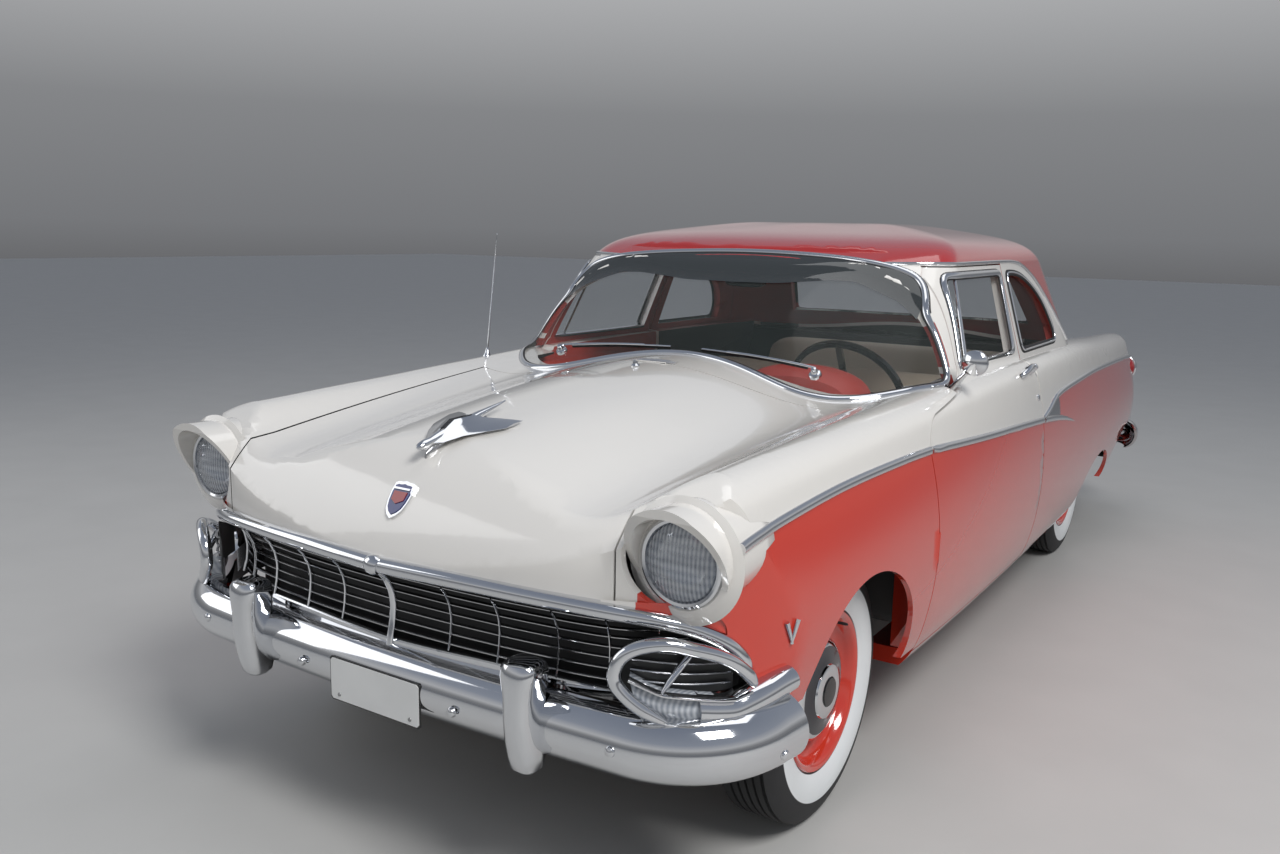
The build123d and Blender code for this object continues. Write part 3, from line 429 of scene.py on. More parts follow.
# The drip rail, as (distance, height): the roof's colour lies above and behind it
rail_line = [
    (985, 1412), (1100, 1417), (1400, 1418), (1700, 1418), (1860, 1415), (1960, 1403), (2070, 1368),
    (2161, 1322), (2270, 1240), (2374, 1150), (2470, 1078)]
roof_edge = [(1800, 1420), (1860, 1410.55)] + rail_line[5:]
roof_edge += [(2544, 1050.4), (2700, 1084), (2904, 1210), (3000, 1252)]
roof_begins = 1850


def greenhouse(name):
    paint = Paintbox(name, cream, 0.16, 0.0, 1.0)
    above = (paint.z - edge_height(paint, roof_edge, 1800, 1200, 1000, 420)).over(0.0)
    roof = above * paint.y.over(aft(roof_begins))
    return sprayed(paint, paint.mix(roof, paint.cloudy(cream, 0.02, 2.5), paint.cloudy(roof_red, 0.03, 2.5)))


def woven(name, color):
    """Cloth: warp and weft as two crossing waves, with stray fibres."""
    cloth = Paintbox(name, color, 0.85)
    cloth.set("Base Color", cloth.cloudy(color, 0.07, 7))
    cloth.set("Sheen Weight", 0.25)
    cloth.set("Roughness", cloth.noise(30) * 0.15 + 0.75)
    return cloth.bump(cloth.wave(420, "X") + cloth.wave(420, "Z") + cloth.noise(800) * 0.6, 0.35, 0.0009)


panel("roof_panel", enamel("roof_paint", roof_red), woven("headliner", (0.50, 0.46, 0.40)))
panel("pillar_frame", greenhouse("greenhouse_paint"), red_vinyl, 0.2)


# Window glass: a curved windscreen and back window set in rubber, and flatter panes in the doors and
# quarters. The glass is a little green, and clear enough to show the seats.
def window(name, color, alpha):
    pane = Paintbox(name, color, 0.02, 0.0, 0.0, alpha)
    pane.set("Alpha", pane.noise(3) * 0.04 + alpha - 0.02)
    pane.set("Roughness", pane.noise(20) * 0.03 + 0.01)
    pane.set("Specular IOR Level", 0.9)
    return pane.bump(pane.noise(4), 0.02, 0.001)


glass = window("window_glass", (0.16, 0.19, 0.18), 0.07)
for node in ("windscreen", "back_window", "quarter_windows", "door_glass_left", "door_glass_right"):
    panel(node, glass)

# Bumpers: pressed steel blades, chrome plated, that wrap round the corners and are held by domed bolts. Two
# chrome guards with rounded tops stand on the front one, in place of the blocks on the CAD blade.
guard_out, guard_half = 450, 34.5


def in_a_guard(face):
    inner, outer = (guard_out - guard_half) / 1000, (guard_out + guard_half) / 1000
    return all(inner < abs(vert.co.x) < outer for vert in face.verts)


def oval(width, height, steps, power=2.0):
    """A rounded section: an ellipse, or squarer with a higher power."""
    points = []
    for i in range(steps):
        angle = 2 * math.pi * i / steps
        pair = ((width, math.cos(angle)), (height, math.sin(angle)))
        points.append(tuple(size / 2 * math.copysign(abs(part) ** (2 / power), part) for size, part in pair))
    return points


def skin(name, rings, material, body="car", sharp=35, closed=False):
    """A surface through rings with the same number of points, with flat ends unless the rings close."""
    count, total = len(rings[0]), len(rings) * len(rings[0])
    faces = grid(len(rings), count, closed, True)
    if not closed:
        faces += [tuple(range(count))[::-1], tuple(range(total - count, total))]
    return piece(name, [point for ring in rings for point in ring], faces, material, body, sharp)


def twin(obj):
    """The same piece on the right-hand side of the car."""
    mesh = obj.data.copy()
    mesh.transform(Matrix.Scale(-1, 4, (1, 0, 0)))
    mesh.flip_normals()
    body = right_door if body_of(obj)[0] == left_door else "car"
    placed(obj.name.replace("left", "right"), mesh, body)


panel("front_bumper", chrome, left_out=in_a_guard)
panel("rear_bumper", chrome)
# Sections of a guard, as (height, half its width, front, rear)
guard_sections = [
    (352, 12, -790, -765), (355, 25, -803, -755), (364, 33, -812, -745), (390, 36, -820, -738),
    (430, 36, -830, -735), (480, 35, -837, -735), (530, 36, -837, -735), (556, 40, -838, -735),
    (580, 46, -837, -738), (596, 46, -834, -742), (606, 39, -828, -750), (611, 26, -815, -762)]
for suffix, middle in (("left", guard_out), ("right", -guard_out)):
    rings = []
    for z, half, front, rear in guard_sections:
        outline = oval(2 * half, rear - front, 28, 2.8)
        rings.append([at(middle + a, (front + rear) / 2 + b, z) for a, b in outline])
    skin("bumper_guard_" + suffix, rings, chrome)
dome = [(-4, 12), (0, 12), (4, 10), (7, 5), (8, 0)]
bolts = [
    (662, -772, 455, (0.07, -1, 0)), (944, -533, 431, (0.93, -0.26, -0.27)), (250, -800, 440, (0, -1, 0))]
for i, (x, d, z, outward) in enumerate(bolts):
    twin(turned(f"bumper_bolt_{i}_left", dome, at(x, d, z), outward, chrome, steps=20))

# Number plates: pressed sheet metal, left blank, each in a dark frame on its bumper. Two zinc-plated screws
# hold each one.
plate_edge = plain("plate_edge", (0.02, 0.02, 0.02), 0.4)
plate_white = plain("plate_white", (0.80, 0.80, 0.78), 0.35, 0.0, 500, 0.0001)
plate_cut, screw_out = 6, 118
for name, middle, sign in [("front", at(0, -792, 423), -1), ("rear", at(0, 4100, 610), 1)]:
    for part, w, h, back, front, material in [
            ("frame", 150, 56, 0, 3, plate_edge), ("plate", 146, 52, 2, 5, plate_white)]:
        lower_half = [(-w + plate_cut, -h), (w - plate_cut, -h), (w, -h + plate_cut)]
        outline = lower_half + [(w, h - plate_cut), (w - plate_cut, h), (-w + plate_cut, h)]
        outline += [(-w, h - plate_cut), (-w, -h + plate_cut)]
        rings = [[middle + Vector((x, sign * y, z)) / 1000 for x, z in outline] for y in (back, front)]
        skin(f"{name}_{part}", rings, material)
    for side, x in (("left", screw_out), ("right", -screw_out)):
        spot = middle + Vector((x / 1000, sign * 0.005, -0.038))
        turned(f"{name}_plate_screw_{side}", [(0, 5), (2, 4.4), (3, 0)], spot, (0, sign, 0), zinc, steps=16)


# Headlamps: a sealed lamp with fluted glass before a silvered reflector, in a chrome ring that a screw
# clamps into the painted bezel. The cone fills the bezel behind the ring.
def fluted(name, alpha):
    """Lamp glass with upright fluting, each flute with a fine cross pattern and painted light and shade."""
    pane = Paintbox(name, (0.72, 0.75, 0.78), 0.06, 0.0, 0.6, alpha)
    flute_relief_and_painted_light = pane.wave(34, "X") + pane.wave(17, "Z") * 0.4
    # Across each flute the colour runs from dark to light: painted shade and highlights.
    pane.set("Base Color", pane.mix(flute_relief_and_painted_light * 0.5, (0.40, 0.44, 0.50), (0.9, 0.92, 0.94)))
    pane.set("Alpha", flute_relief_and_painted_light * 0.12 + alpha - 0.1)
    return pane.bump(flute_relief_and_painted_light, 0.275, 0.003)


lamp_glass = fluted("lamp_glass", 0.52)
lamp_out, lamp_front, lamp_height = 753, -657, 847
ring_profile = [(-30, 97), (-2, 98), (5, 96), (8, 91), (6, 85), (0, 83), (-12, 83)]
reflector_profile = [(-6, 84), (-22, 78), (-40, 62), (-52, 40), (-58, 18), (-58, 0)]
cone_profile = [(-2, 96), (3, 101), (0, 112), (-6, 124), (-14, 137)]
glass_profile = [(-4, 84), (4, 80), (12, 62), (17, 36), (19, 0)]
for suffix, x in (("left", lamp_out), ("right", -lamp_out)):
    spot = at(x, lamp_front, lamp_height)
    silver = plating("reflector_" + suffix, (0.55, 0.57, 0.6), 0.12)
    for part, profile, material, steps in [
            ("ring", ring_profile, chrome, 80), ("reflector", reflector_profile, silver, 64),
            ("cone", cone_profile, light_paint, 64), ("glass", glass_profile, lamp_glass, 80)]:
        lamp = turned(f"lamp_{part}_{suffix}", profile, spot, (0, -1, 0), material, steps=steps)
        if (part, suffix) == ("ring", "left"):
            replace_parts(lamp, "headlamps")

# Tail lamps: moulded red lenses in the ends of the quarters, each with a pressed chrome rim that holds its
# edge and a chrome ring on its middle.
panel("tail_lamps", enamel("lens_red", (0.34, 0.008, 0.010), 0.10))
tail_out, tail_height = 806, 800
for suffix, x in (("left", tail_out), ("right", -tail_out)):
    for part, distance, profile, steps in [
            ("rim", 4082, [(-26, 77), (-24, 82), (0, 82), (7, 80), (10, 74), (6, 70)], 64),
            ("ring", 4124, [(-6, 42), (3, 41), (5, 38), (3, 35), (-6, 34)], 48)]:
        turned(f"tail_{part}_{suffix}", profile, at(x, distance, tail_height), (0, 1, 0), chrome, steps=steps)

# Grille: thin bars of bright rolled steel in a hollow between the lamp pods, with chrome uprights, a thick
# cast top moulding in two halves under a cap, and a flat bottom bar. Screws hold it to the front pan.
dull_chrome = plating("dull_chrome", (0.5, 0.5, 0.51), 0.16)


def smooth_line(points, steps, closed=False):
    """Points along a smooth curve through the given points."""
    count, line = len(points), []
    for i in range(count if closed else count - 1):
        near = [i + k for k in (-1, 0, 1, 2)]
        p = [points[k % count if closed else min(max(k, 0), count - 1)] for k in near]
        for s in range(steps):
            t = s / steps
            line.append(0.5 * (
                2 * p[1] + (p[2] - p[0]) * t + (2 * p[0] - 5 * p[1] + 4 * p[2] - p[3]) * t * t
                + (3 * p[1] - p[0] - 3 * p[2] + p[3]) * t ** 3))
    return line if closed else line + [points[-1]]


def smooth_pairs(pairs, steps):
    """The same for pairs of numbers."""
    return [(p.x, p.y) for p in smooth_line([Vector((*pair, 0)) for pair in pairs], steps)]


def facing(line, outward):
    """The line's points, all with the same outward direction."""
    return [(point, outward) for point in line]


def strip(name, spots, section, material, body="car", sizes=None, closed=False):
    """A section carried along a line of (place, outward) spots. Section points are (across, out) in mm."""
    rings, count = [], len(spots)
    for i, (point, outward) in enumerate(spots):
        before = spots[i - 1][0] if closed or i else point
        after = spots[(i + 1) % count][0] if closed or i < count - 1 else point
        along = (after - before).normalized()
        across = along.cross(outward).normalized()
        out = across.cross(along)
        size = (sizes[i] if sizes else 1.0) / 1000
        rings.append([point + (across * a + out * o) * size for a, o in section])
    return skin(name, rings, material, body, closed=closed)


def sheet(name, rows, material):
    """An open surface through rows with the same number of points."""
    return piece(name, [point for row in rows for point in row], grid(len(rows), len(rows[0])), material)


def plan_line(points):
    return smooth_line([Vector((x, distance, 0)) / 1000 for x, distance in points], 6)


def on_plan(plan, x, z, out=0.0):
    """A point over a plan line at that x, moved outwards, and the outward direction."""
    side, reach = math.copysign(1, x), abs(x) / 1000
    for a, b in zip(plan, plan[1:]):
        if reach <= b.x or b is plan[-1]:
            t = (reach - a.x) / (b.x - a.x)
            normal = Vector((b.y - a.y, -(b.x - a.x), 0)).normalized()
            spot = a.lerp(b, t) + normal * (out / 1000)
            place = Vector((side * spot.x, aft(spot.y * 1000), z / 1000))
            return place, Vector((side * normal.x, normal.y, 0))


# How far the hollow lies behind the plan line, as (height, depth)
hollow = [(740, 10), (715, 22), (690, 45), (655, 62), (620, 68), (580, 64), (545, 56), (500, 50)]


def hollow_at(z):
    for (z0, h0), (z1, h1) in zip(hollow, hollow[1:]):
        if z >= z1:
            return h0 + (h1 - h0) * (z0 - z) / (z0 - z1)


nose_plan = plan_line([
    (0, -782), (204, -775), (413, -757), (600, -725), (714, -672), (777, -615), (824, -569), (850, -532),
    (868, -490)])
bars = [(702, 800), (678, 790), (654, 770), (630, 735), (606, 700), (582, 690), (559, 690)]
for i, (z, reach) in enumerate(bars):
    spots = [on_plan(nose_plan, reach * k / 20, z, -hollow_at(z)) for k in range(-20, 21)]
    strip(f"grille_bar_{i}", spots, oval(6, 14, 10), dull_chrome)
for i, x in enumerate([180, 320, 475, 605, 715, -180, -320, -475, -605, -715]):
    spots = [on_plan(nose_plan, x, z, -hollow_at(z) + 5) for z in range(545, 721, 16)]
    strip(f"grille_upright_{i}", spots, oval(5, 12, 10), chrome)
nearly_middle = 0.01
spots = [on_plan(nose_plan, nearly_middle, z, -hollow_at(z) + 9) for z in range(515, 731, 12)]
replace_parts(strip("grille_centre_bar", spots, oval(20, 18, 14), chrome), "grille")
top_line = [
    (2, 732), (227, 737), (413, 737), (600, 733), (714, 718), (777, 692), (820, 660), (843, 622), (849, 590)]
top_section = [(-18, -14), (-18, 0), (-15, 9), (-9, 15), (0, 17), (9, 15), (15, 9), (18, 0), (18, -14)]
spots = [on_plan(nose_plan, x, z) for x, z in smooth_pairs(top_line, 6)]
taper = [1.0] * (len(spots) - 8) + [1, 0.97, 0.93, 0.88, 0.82, 0.74, 0.62, 0.45]
twin(strip("grille_moulding_left", spots, top_section, chrome, sizes=taper))
cap_line = [at(-15, -784, 732), at(-8, -786, 733), at(8, -786, 733), at(15, -784, 732)]
strip("grille_cap", facing(cap_line, Vector((0, -1, 0))), oval(48, 42, 18), chrome, sizes=[0.82, 1, 1, 0.82])
low_line = [(-648, 524), (-560, 530), (-300, 532), (0, 524), (300, 532), (560, 530), (648, 524)]
low_section = [(-13, -10), (-13, 0), (-10, 4), (10, 4), (13, 0), (13, -10)]
spots = [on_plan(nose_plan, x or nearly_middle, z, -48) for x, z in smooth_pairs(low_line, 6)]
strip("grille_bottom_bar", spots, low_section, chrome)
# A black sheet behind the bars is painted shade, standing in for the shade in the hollow behind the grille.
rows = [[on_plan(nose_plan, 780 * k / 16, z, -105)[0] for z in (505, 745)] for k in range(-16, 17)]
sheet("grille_painted_shade", rows, black_paint)

# Lamp pods: at each corner a cast chrome loop round a recess with a ribbed lens, and a chrome spear that
# sweeps back to the wheel arch. The pod is screwed in between the grille, the bumper and the fender.
small_lens = fluted("parking_lens", 0.75)
pod_plan = plan_line([
    (500, -795), (600, -780), (650, -768), (700, -745), (760, -705), (807, -660), (850, -600), (885, -530),
    (905, -470), (925, -400), (940, -300)])
lip_top = [
    (690, 612), (719, 596), (748, 581), (777, 575), (807, 568), (834, 560), (853, 556), (870, 563),
    (892, 574), (906, 582), (916, 584)]
lip_low = [
    (706, 560), (730, 538), (753, 521), (777, 513), (807, 505), (834, 497), (853, 493), (870, 497),
    (892, 510), (906, 520), (916, 530)]
loop_line = [
    (756, 519), (711, 552), (680, 582), (664, 608), (665, 634), (676, 658), (697, 676), (726, 686),
    (760, 688), (790, 678), (825, 660), (850, 636), (868, 604), (876, 576)]


def pod_line(points, out=0.0):
    return [on_plan(pod_plan, x, z, out) for x, z in smooth_pairs(points, 5)]


def belly(name, first, last, bulge, material):
    """A bulged surface between the upper and the lower edge of the pod."""
    rings = []
    above, below = smooth_pairs(lip_top[first:last], 4), smooth_pairs(lip_low[first:last], 4)
    for (x0, z0), (x1, z1) in zip(above, below):
        ring = []
        for t in [k / 8 for k in range(9)]:
            out = bulge - 26 + 26 * math.sin(math.pi * t) ** 0.6
            ring.append(on_plan(pod_plan, x0 + (x1 - x0) * t, z0 + (z1 - z0) * t, out)[0])
        rings.append(ring + [on_plan(pod_plan, x, z, -45)[0] for x, z in ((x1, z1), (x0, z0))])
    return skin(name, rings, material, sharp=50)


spots = pod_line(loop_line)
taper = [0.45, 0.6, 0.75, 0.9] + [1.0] * (len(spots) - 10) + [1, 0.95, 0.85, 0.75, 0.6, 0.45]
loop_left = strip("pod_loop_left", spots, oval(30, 32, 14), chrome, sizes=taper)
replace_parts(loop_left, "parking_lamps")
twin(loop_left)
twin(belly("pod_lens_left", 0, 6, 0, small_lens))
twin(belly("pod_spear_left", 4, 11, 14, chrome))
for name, points in [("top", lip_top[:7]), ("low", lip_low[1:7])]:
    twin(strip(f"pod_rail_{name}_left", pod_line(points, -3), oval(9, 26, 10), chrome))
# A black sheet in the recess behind the bars is painted shade.
rows = []
for x in [672 + 192 * k / 12 for k in range(13)]:
    high = 690 - 0.0035 * max(0, x - 740) ** 2 - 0.02 * max(0, 740 - x) ** 1.8
    rows.append([on_plan(pod_plan, x, z, -42)[0] for z in (high, (high + 560) / 2, 560)])
twin(sheet("pod_recess_left", rows, black_paint))
fin_line = [(748, 583, 0), (760, 604, -8), (778, 628, -20), (796, 648, -34)]
spots = [on_plan(pod_plan, x, z, out) for x, z, out in fin_line]
twin(strip("pod_fin_left", spots, oval(16, 22, 12), chrome, sizes=[0.35, 0.8, 1.0, 0.9]))
for i, z in enumerate((664, 642, 620, 598)):
    spots = [on_plan(pod_plan, x, z - 0.12 * (x - 700), -36) for x in range(690, 862, 14)]
    twin(strip(f"pod_bar_{i}_left", spots, oval(5, 8, 8), dull_chrome))

# Fender corner: the pressed sheet steel between the grille moulding and the headlamp. It is part of the
# fender, and painted with it.
corner_line, corner_top = [(600, 728), (660, 722), (714, 712), (777, 686), (820, 654), (848, 612)], 756
rows = [
    [on_plan(nose_plan, x, z + (corner_top - z) * k / 3, -3)[0] for k in range(4)]
    for x, z in smooth_pairs(corner_line, 4)]
twin(sheet("fender_corner_left", rows, body_paint))

# Side mouldings: rolled chrome strips clipped over the line between the colours, along the front fender,
# down the door into a spear on the quarter, and from there up to the tail. A dull panel fills the fork.
half_round = [
    (-1.0, 0.0), (-0.92, 0.38), (-0.7, 0.71), (-0.38, 0.92), (0.0, 1.0), (0.38, 0.92), (0.7, 0.71),
    (0.92, 0.38), (1.0, 0.0)]


def bead(width, height):
    """The section of a raised moulding that lies on a surface."""
    return [(a * width / 2, o * height) for a, o in half_round] + [(width / 2, -2), (-width / 2, -2)]


def tree_of(*names):
    """The surfaces of these CAD pieces together, for finding places on them."""
    verts, faces = [], []
    for name in names:
        mesh, start = nodes[name].data, len(verts)
        verts += [v.co.copy() for v in mesh.vertices]
        faces += [[start + i for i in p.vertices] for p in mesh.polygons]
    return BVHTree.FromPolygons(verts, faces)


def landed(tree, start, direction, lift):
    """(place, outward direction) where a look from outside meets the surface."""
    place, normal = tree.ray_cast(start, Vector(direction))[:2]
    if normal.dot(Vector(direction)) >= 0:
        normal = -normal
    return place + normal * (lift / 1000), normal


sides = {
    "fender": tree_of("fender_left", "headlamp_bezels"), "door": tree_of("door_left"),
    "quarter": tree_of("quarter_left")}


def on_side(panel_name, distance, z, lift=0.0):
    return landed(sides[panel_name], at(1300, distance, z), (-1, 0, 0), lift)


for name, panel_name, body, section, sizes, points in [
        ("fender", "fender", "car", bead(24, 9), None, [
            (-610, 884), (-515, 891), (-114, 913), (250, 918), (459, 916)]),
        ("door", "door", left_door, bead(24, 9), None, [(472, 916), (965, 886), (1300, 868), (1636, 846)]),
        ("spear", "quarter", "car", bead(24, 9), [1.0, 1.0, 0.75, 0.12], [
            (1648, 845), (1800, 832), (2000, 806), (2194, 767)]),
        ("upper", "quarter", "car", bead(22, 8), None, [
            (1880, 905), (2000, 914), (2217, 919), (2696, 921), (3200, 908), (3700, 888), (3985, 872)]),
        ("link", "quarter", "car", bead(20, 8), None, [(1652, 850), (1730, 866), (1810, 888), (1884, 906)])]:
    spots = [on_side(panel_name, distance, z) for distance, z in smooth_pairs(points, 7)]
    if sizes:
        sizes = [size for size, _ in smooth_pairs([(size, 0) for size in sizes], 7)]
    twin(strip(f"trim_{name}_left", spots, section, chrome, body, sizes))
fork = [(1665, 847, 854), (1730, 841, 868), (1800, 833, 888), (1860, 826, 904), (1914, 820, 909)]
rows = [[on_side("quarter", d, z, 2.5)[0] for z in (low, (low + high) / 2, high)] for d, low, high in fork]
twin(sheet("trim_panel_left", rows, dull_chrome))

# Fender emblem: a plain V, cast and chrome plated. Pins through the front fender hold it, behind the
# headlamp.
spot, normal = on_side("fender", -423, 658)
along_fender = Vector((0, 0, 1)).cross(normal).normalized()
for name, lean in (("front", 1), ("back", -1)):
    line = [
        spot + along_fender * (lean * a / 1000) + Vector((0, 0, z / 1000)) + normal * 0.004
        for a, z in [(-2, -26), (8, 0), (18, 26)]]
    twin(strip(f"emblem_arm_{name}_left", facing(line, normal), oval(9, 9, 8), chrome, sizes=[0.7, 1, 1.25]))


# Window frames: rolled chrome mouldings, each pressed on to the rubber seal round a window opening of the
# doors, the quarters or the back.
def rims(node, middle):
    """Closed loops of (place, outward) spots along the edges where a CAD piece's outer face ends."""
    work = bmesh.new()
    work.from_mesh(nodes[node].data)
    bmesh.ops.remove_doubles(work, verts=work.verts, dist=cad_weld)
    least_outward, least_bend, spacing, shortest = 0.25, 0.5, 0.012, 0.35
    outer, links = set(), {}
    for face in work.faces:
        if face.normal.dot((face.calc_center_median() - middle).normalized()) > least_outward:
            outer.add(face)
    for edge in work.edges:
        beside = [face in outer for face in edge.link_faces]
        if sorted(beside) == [False, True] and edge.calc_face_angle() > least_bend:
            a, b = edge.verts
            links.setdefault(a, []).append(b)
            links.setdefault(b, []).append(a)
    loops, left = [], dict.fromkeys(links)
    while left:
        current, loop = next(iter(left)), []
        while current:
            del left[current]
            loop.append(current)
            current = next((v for v in links[current] if v in left), None)
        spots = []
        for v in loop:
            if not spots or (v.co - spots[-1][0]).length > spacing:
                normal = sum((f.normal for f in v.link_faces if f in outer), Vector())
                spots.append((v.co.copy(), normal.normalized()))
        length = sum((p[0] - q[0]).length for p, q in zip(spots, spots[1:]))
        if loop[0] in links[loop[-1]] and length > shortest:
            loops.append(spots)
    work.free()
    return loops


def evened(spots, rounds):
    """The closed outline in even steps, with its corners rounded off."""
    even, step = [], 0.014
    for (p, m), (q, n) in zip(spots, spots[1:] + spots[:1]):
        steps = max(1, round((q - p).length / step))
        even += [(p.lerp(q, k / steps), m.lerp(n, k / steps)) for k in range(steps)]
    for _ in range(rounds):
        around = zip(even[-1:] + even[:-1], even, even[1:] + even[:1])
        even = [((a[0] + b[0] * 2 + c[0]) / 4, (a[1] + b[1] * 2 + c[1]).normalized()) for a, b, c in around]
    return even


def frame_round(name, spots, section, material, body="car", rounds=5):
    """A moulding round a closed outline."""
    return strip(name, evened(spots, rounds), section, material, body, closed=True)


cabin_middle, door_middle = at(0, 1650, 1150), at(0, 1200, 800)
roof_joint, quarters_end, door_waist = 1.4, aft(2400), 1.07
# The openings, without the flat joint under the roof and the long outline round the windscreen
openings = rims("pillar_frame", cabin_middle)
openings = [spots for spots in openings if spots[0][0].z < roof_joint and len(spots) < 100]
openings.sort(key=lambda spots: sum(place.x for place, _ in spots))
for i, spots in enumerate(openings):
    label = "back_window" if min(s[0].y for s in spots) > quarters_end else f"quarter_window_{i}"
    frame_round(label + "_seal", spots, bead(24, 5), seal)
    frame_round(label + "_chrome", spots, bead(10, 8) if "quarter" in label else bead(20, 9), chrome)
for node, body in (("door_left", left_door), ("door_right", right_door)):
    for spots in rims(node, door_middle):
        if min(s[0].z for s in spots) > door_waist:
            frame_round(node + "_frame_seal", spots, bead(30, 4), seal, body)
            frame_round(node + "_frame_chrome", spots, bead(24, 9), chrome, body)

# Windscreen frame: a chrome moulding on a rubber seal all round, with a crowned header above the CAD glass,
# and between the two a band of near-black glass whose colour is painted shade for the cabin seen through it.
cabin = tree_of(
    "pillar_frame", "roof_panel", "windscreen", "back_window", "quarter_windows", "door_left",
    "door_glass_left")
header_end = 1.262
half_header = [
    (706, 1262), (698, 1295), (683, 1332), (657, 1366), (612, 1390), (540, 1408), (400, 1425), (200, 1436),
    (0, 1440)]
header = half_header + [(-x, z) for x, z in reversed(half_header[:-1])]
glass_top = [
    (700, 1235), (660, 1270), (612, 1300), (513, 1336), (461, 1352), (376, 1354), (179, 1336), (0, 1334)]


def front_spot(x, z, lift=0.0):
    return landed(cabin, at(x, 300, z), (0, 1, 0), lift)


def height_on(line, x):
    """Height of a line of (distance from the middle, height) points, which starts at its outer end."""
    for (x0, z0), (x1, z1) in zip(line, line[1:]):
        if abs(x) >= x1:
            return z1 + (z0 - z1) * (abs(x) - x1) / (x0 - x1)


crown = [front_spot(x, z) for x, z in smooth_pairs(header, 5)]
spots = rims("windscreen", cabin_middle)[0]
start = next(i for i, spot in enumerate(spots) if spots[i - 1][0].z > header_end >= spot[0].z)
lower = [spot for spot in spots[start:] + spots[:start] if spot[0].z <= header_end]
if (lower[-1][0].x > 0) != (crown[0][0].x > 0):
    crown.reverse()
frame_round("windscreen_seal", lower + crown, bead(32, 5), seal, rounds=12)
frame_round("windscreen_chrome", lower + crown, bead(24, 10), chrome, rounds=12)
# The band's near-black colour is painted shade, standing in for the dark cabin behind the glass.
rows = []
for x in [690 * (2 * i / 36 - 1) for i in range(37)]:
    low, high = height_on(glass_top, x), height_on(half_header, x)
    rows.append([front_spot(x, low + (high - low) * k / 4, 2.5)[0] for k in range(5)])
sheet("windscreen_shade_band", rows, window("glass_painted_shade", (0.03, 0.035, 0.035), 0.94))


# Vent post and drip rail: a chrome upright between the door's vent pane and its window, and a rolled chrome
# gutter that runs over the side windows and down the rear pillar.
def cabin_side(distance, z, lift=0.0):
    return landed(cabin, at(1300, distance, z), (-1, 0, 0), lift)


post = [cabin_side(1118 + (1024 - 1118) * k / 6, 1374 + (1092 - 1374) * k / 6, 4)[0] for k in range(7)]
twin(strip("vent_post_left", facing(post, Vector((0.95, 0, 0.3))), oval(14, 12, 10), chrome, left_door))
rail = [cabin_side(distance, z) for distance, z in smooth_pairs(rail_line, 5)]
twin(strip("drip_rail_left", rail, bead(12, 9), chrome))

# Door fittings: a chrome mirror on the left door, cast chrome pull handles with a push button behind each,
# and a lock cylinder in the skin below.
panel("door_mirror", chrome)
handle_line = [(1432, 1024), (1440, 1026), (1470, 1030), (1510, 1033), (1540, 1034), (1552, 1034)]
spots = [on_side("door", distance, z) for distance, z in handle_line]
lifts = [2, 16, 30, 33, 30, 12]
line = smooth_line([place + normal * (lift / 1000) for (place, normal), lift in zip(spots, lifts)], 5)
twin(strip("door_handle_left", facing(line, spots[2][1]), oval(19, 12, 12), chrome, left_door))
for name, distance, z, profile in [
        ("button", 1556, 1033, [(-2, 17), (12, 17), (20, 15), (24, 12), (34, 11), (37, 8), (38, 0)]),
        ("lock", 1594, 933, [(-2, 12), (3, 12), (6, 9), (7, 0)])]:
    spot, normal = on_side("door", distance, z)
    twin(turned(f"door_{name}_left", profile, spot, normal, chrome, left_door, steps=24))

# Wipers: two chrome arms on pivots through the cowl, each with a rubber blade in a chrome holder, parked
# along the foot of the windscreen.
glass_out = Vector((0, -0.6, 0.8))
pivot = [(-6, 20), (2, 20), (6, 17), (8, 11), (18, 10), (24, 8), (26, 0)]
twin(turned("wiper_pivot_left", pivot, at(486, 572, 1084), glass_out, chrome, steps=28))
arm_line = [at(486, 572, 1104), at(400, 584, 1113), at(260, 600, 1122), at(160, 606, 1126)]
blade_line = [at(452, 590, 1101), at(300, 606, 1114), at(150, 613, 1121), at(60, 616, 1124)]
holder_line = [point + Vector((0, 0, 0.003)) for point in blade_line]
for name, line, section, material in [
        ("arm", arm_line, oval(9, 5, 8), chrome),
        ("blade", blade_line, [(-3, -6), (3, -6), (2, 3), (-2, 3)], seal),
        ("holder", holder_line, oval(7, 4, 8), chrome)]:
    twin(strip(f"wiper_{name}_left", facing(smooth_line(line, 4), glass_out), section, material))

# Aerial: a telescopic mast of chrome-plated tubes. Its base is clamped through the top of the right front
# fender.
mast = Vector((0, 0.06, 0.442)).normalized()
for name, steps, profile in [
        ("base", 24, [(-12, 16), (0, 16), (6, 13), (14, 9), (30, 6), (34, 0)]),
        ("mast", 12, [
            (20, 3.2), (180, 3.0), (182, 2.2), (330, 2.1), (332, 1.5), (440, 1.3), (446, 3.0), (450, 0)])]:
    turned("aerial_" + name, profile, at(-800, 533, 1042), mast, chrome, steps=steps)


# Hood ornament: a plain jet, cast and chrome plated in three parts, with a black cockpit. Studs through its
# foot hold it to the hood, and it rises with the hood.
def upright_ovals(sections, steps, power=2.0):
    """Rings of a long body. Sections are (distance, height of the middle, width, height across)."""
    return [[at(w, d, z + h) for w, h in oval(wide, high, steps, power)] for d, z, wide, high in sections]


tops = tree_of("hood", "cowl", "trunk_lid", "rear_deck", "quarter_left", "fender_left")


def on_top(x, distance, lift=0.0):
    return landed(tops, at(x, distance, 1400), (0, 0, -1), lift)


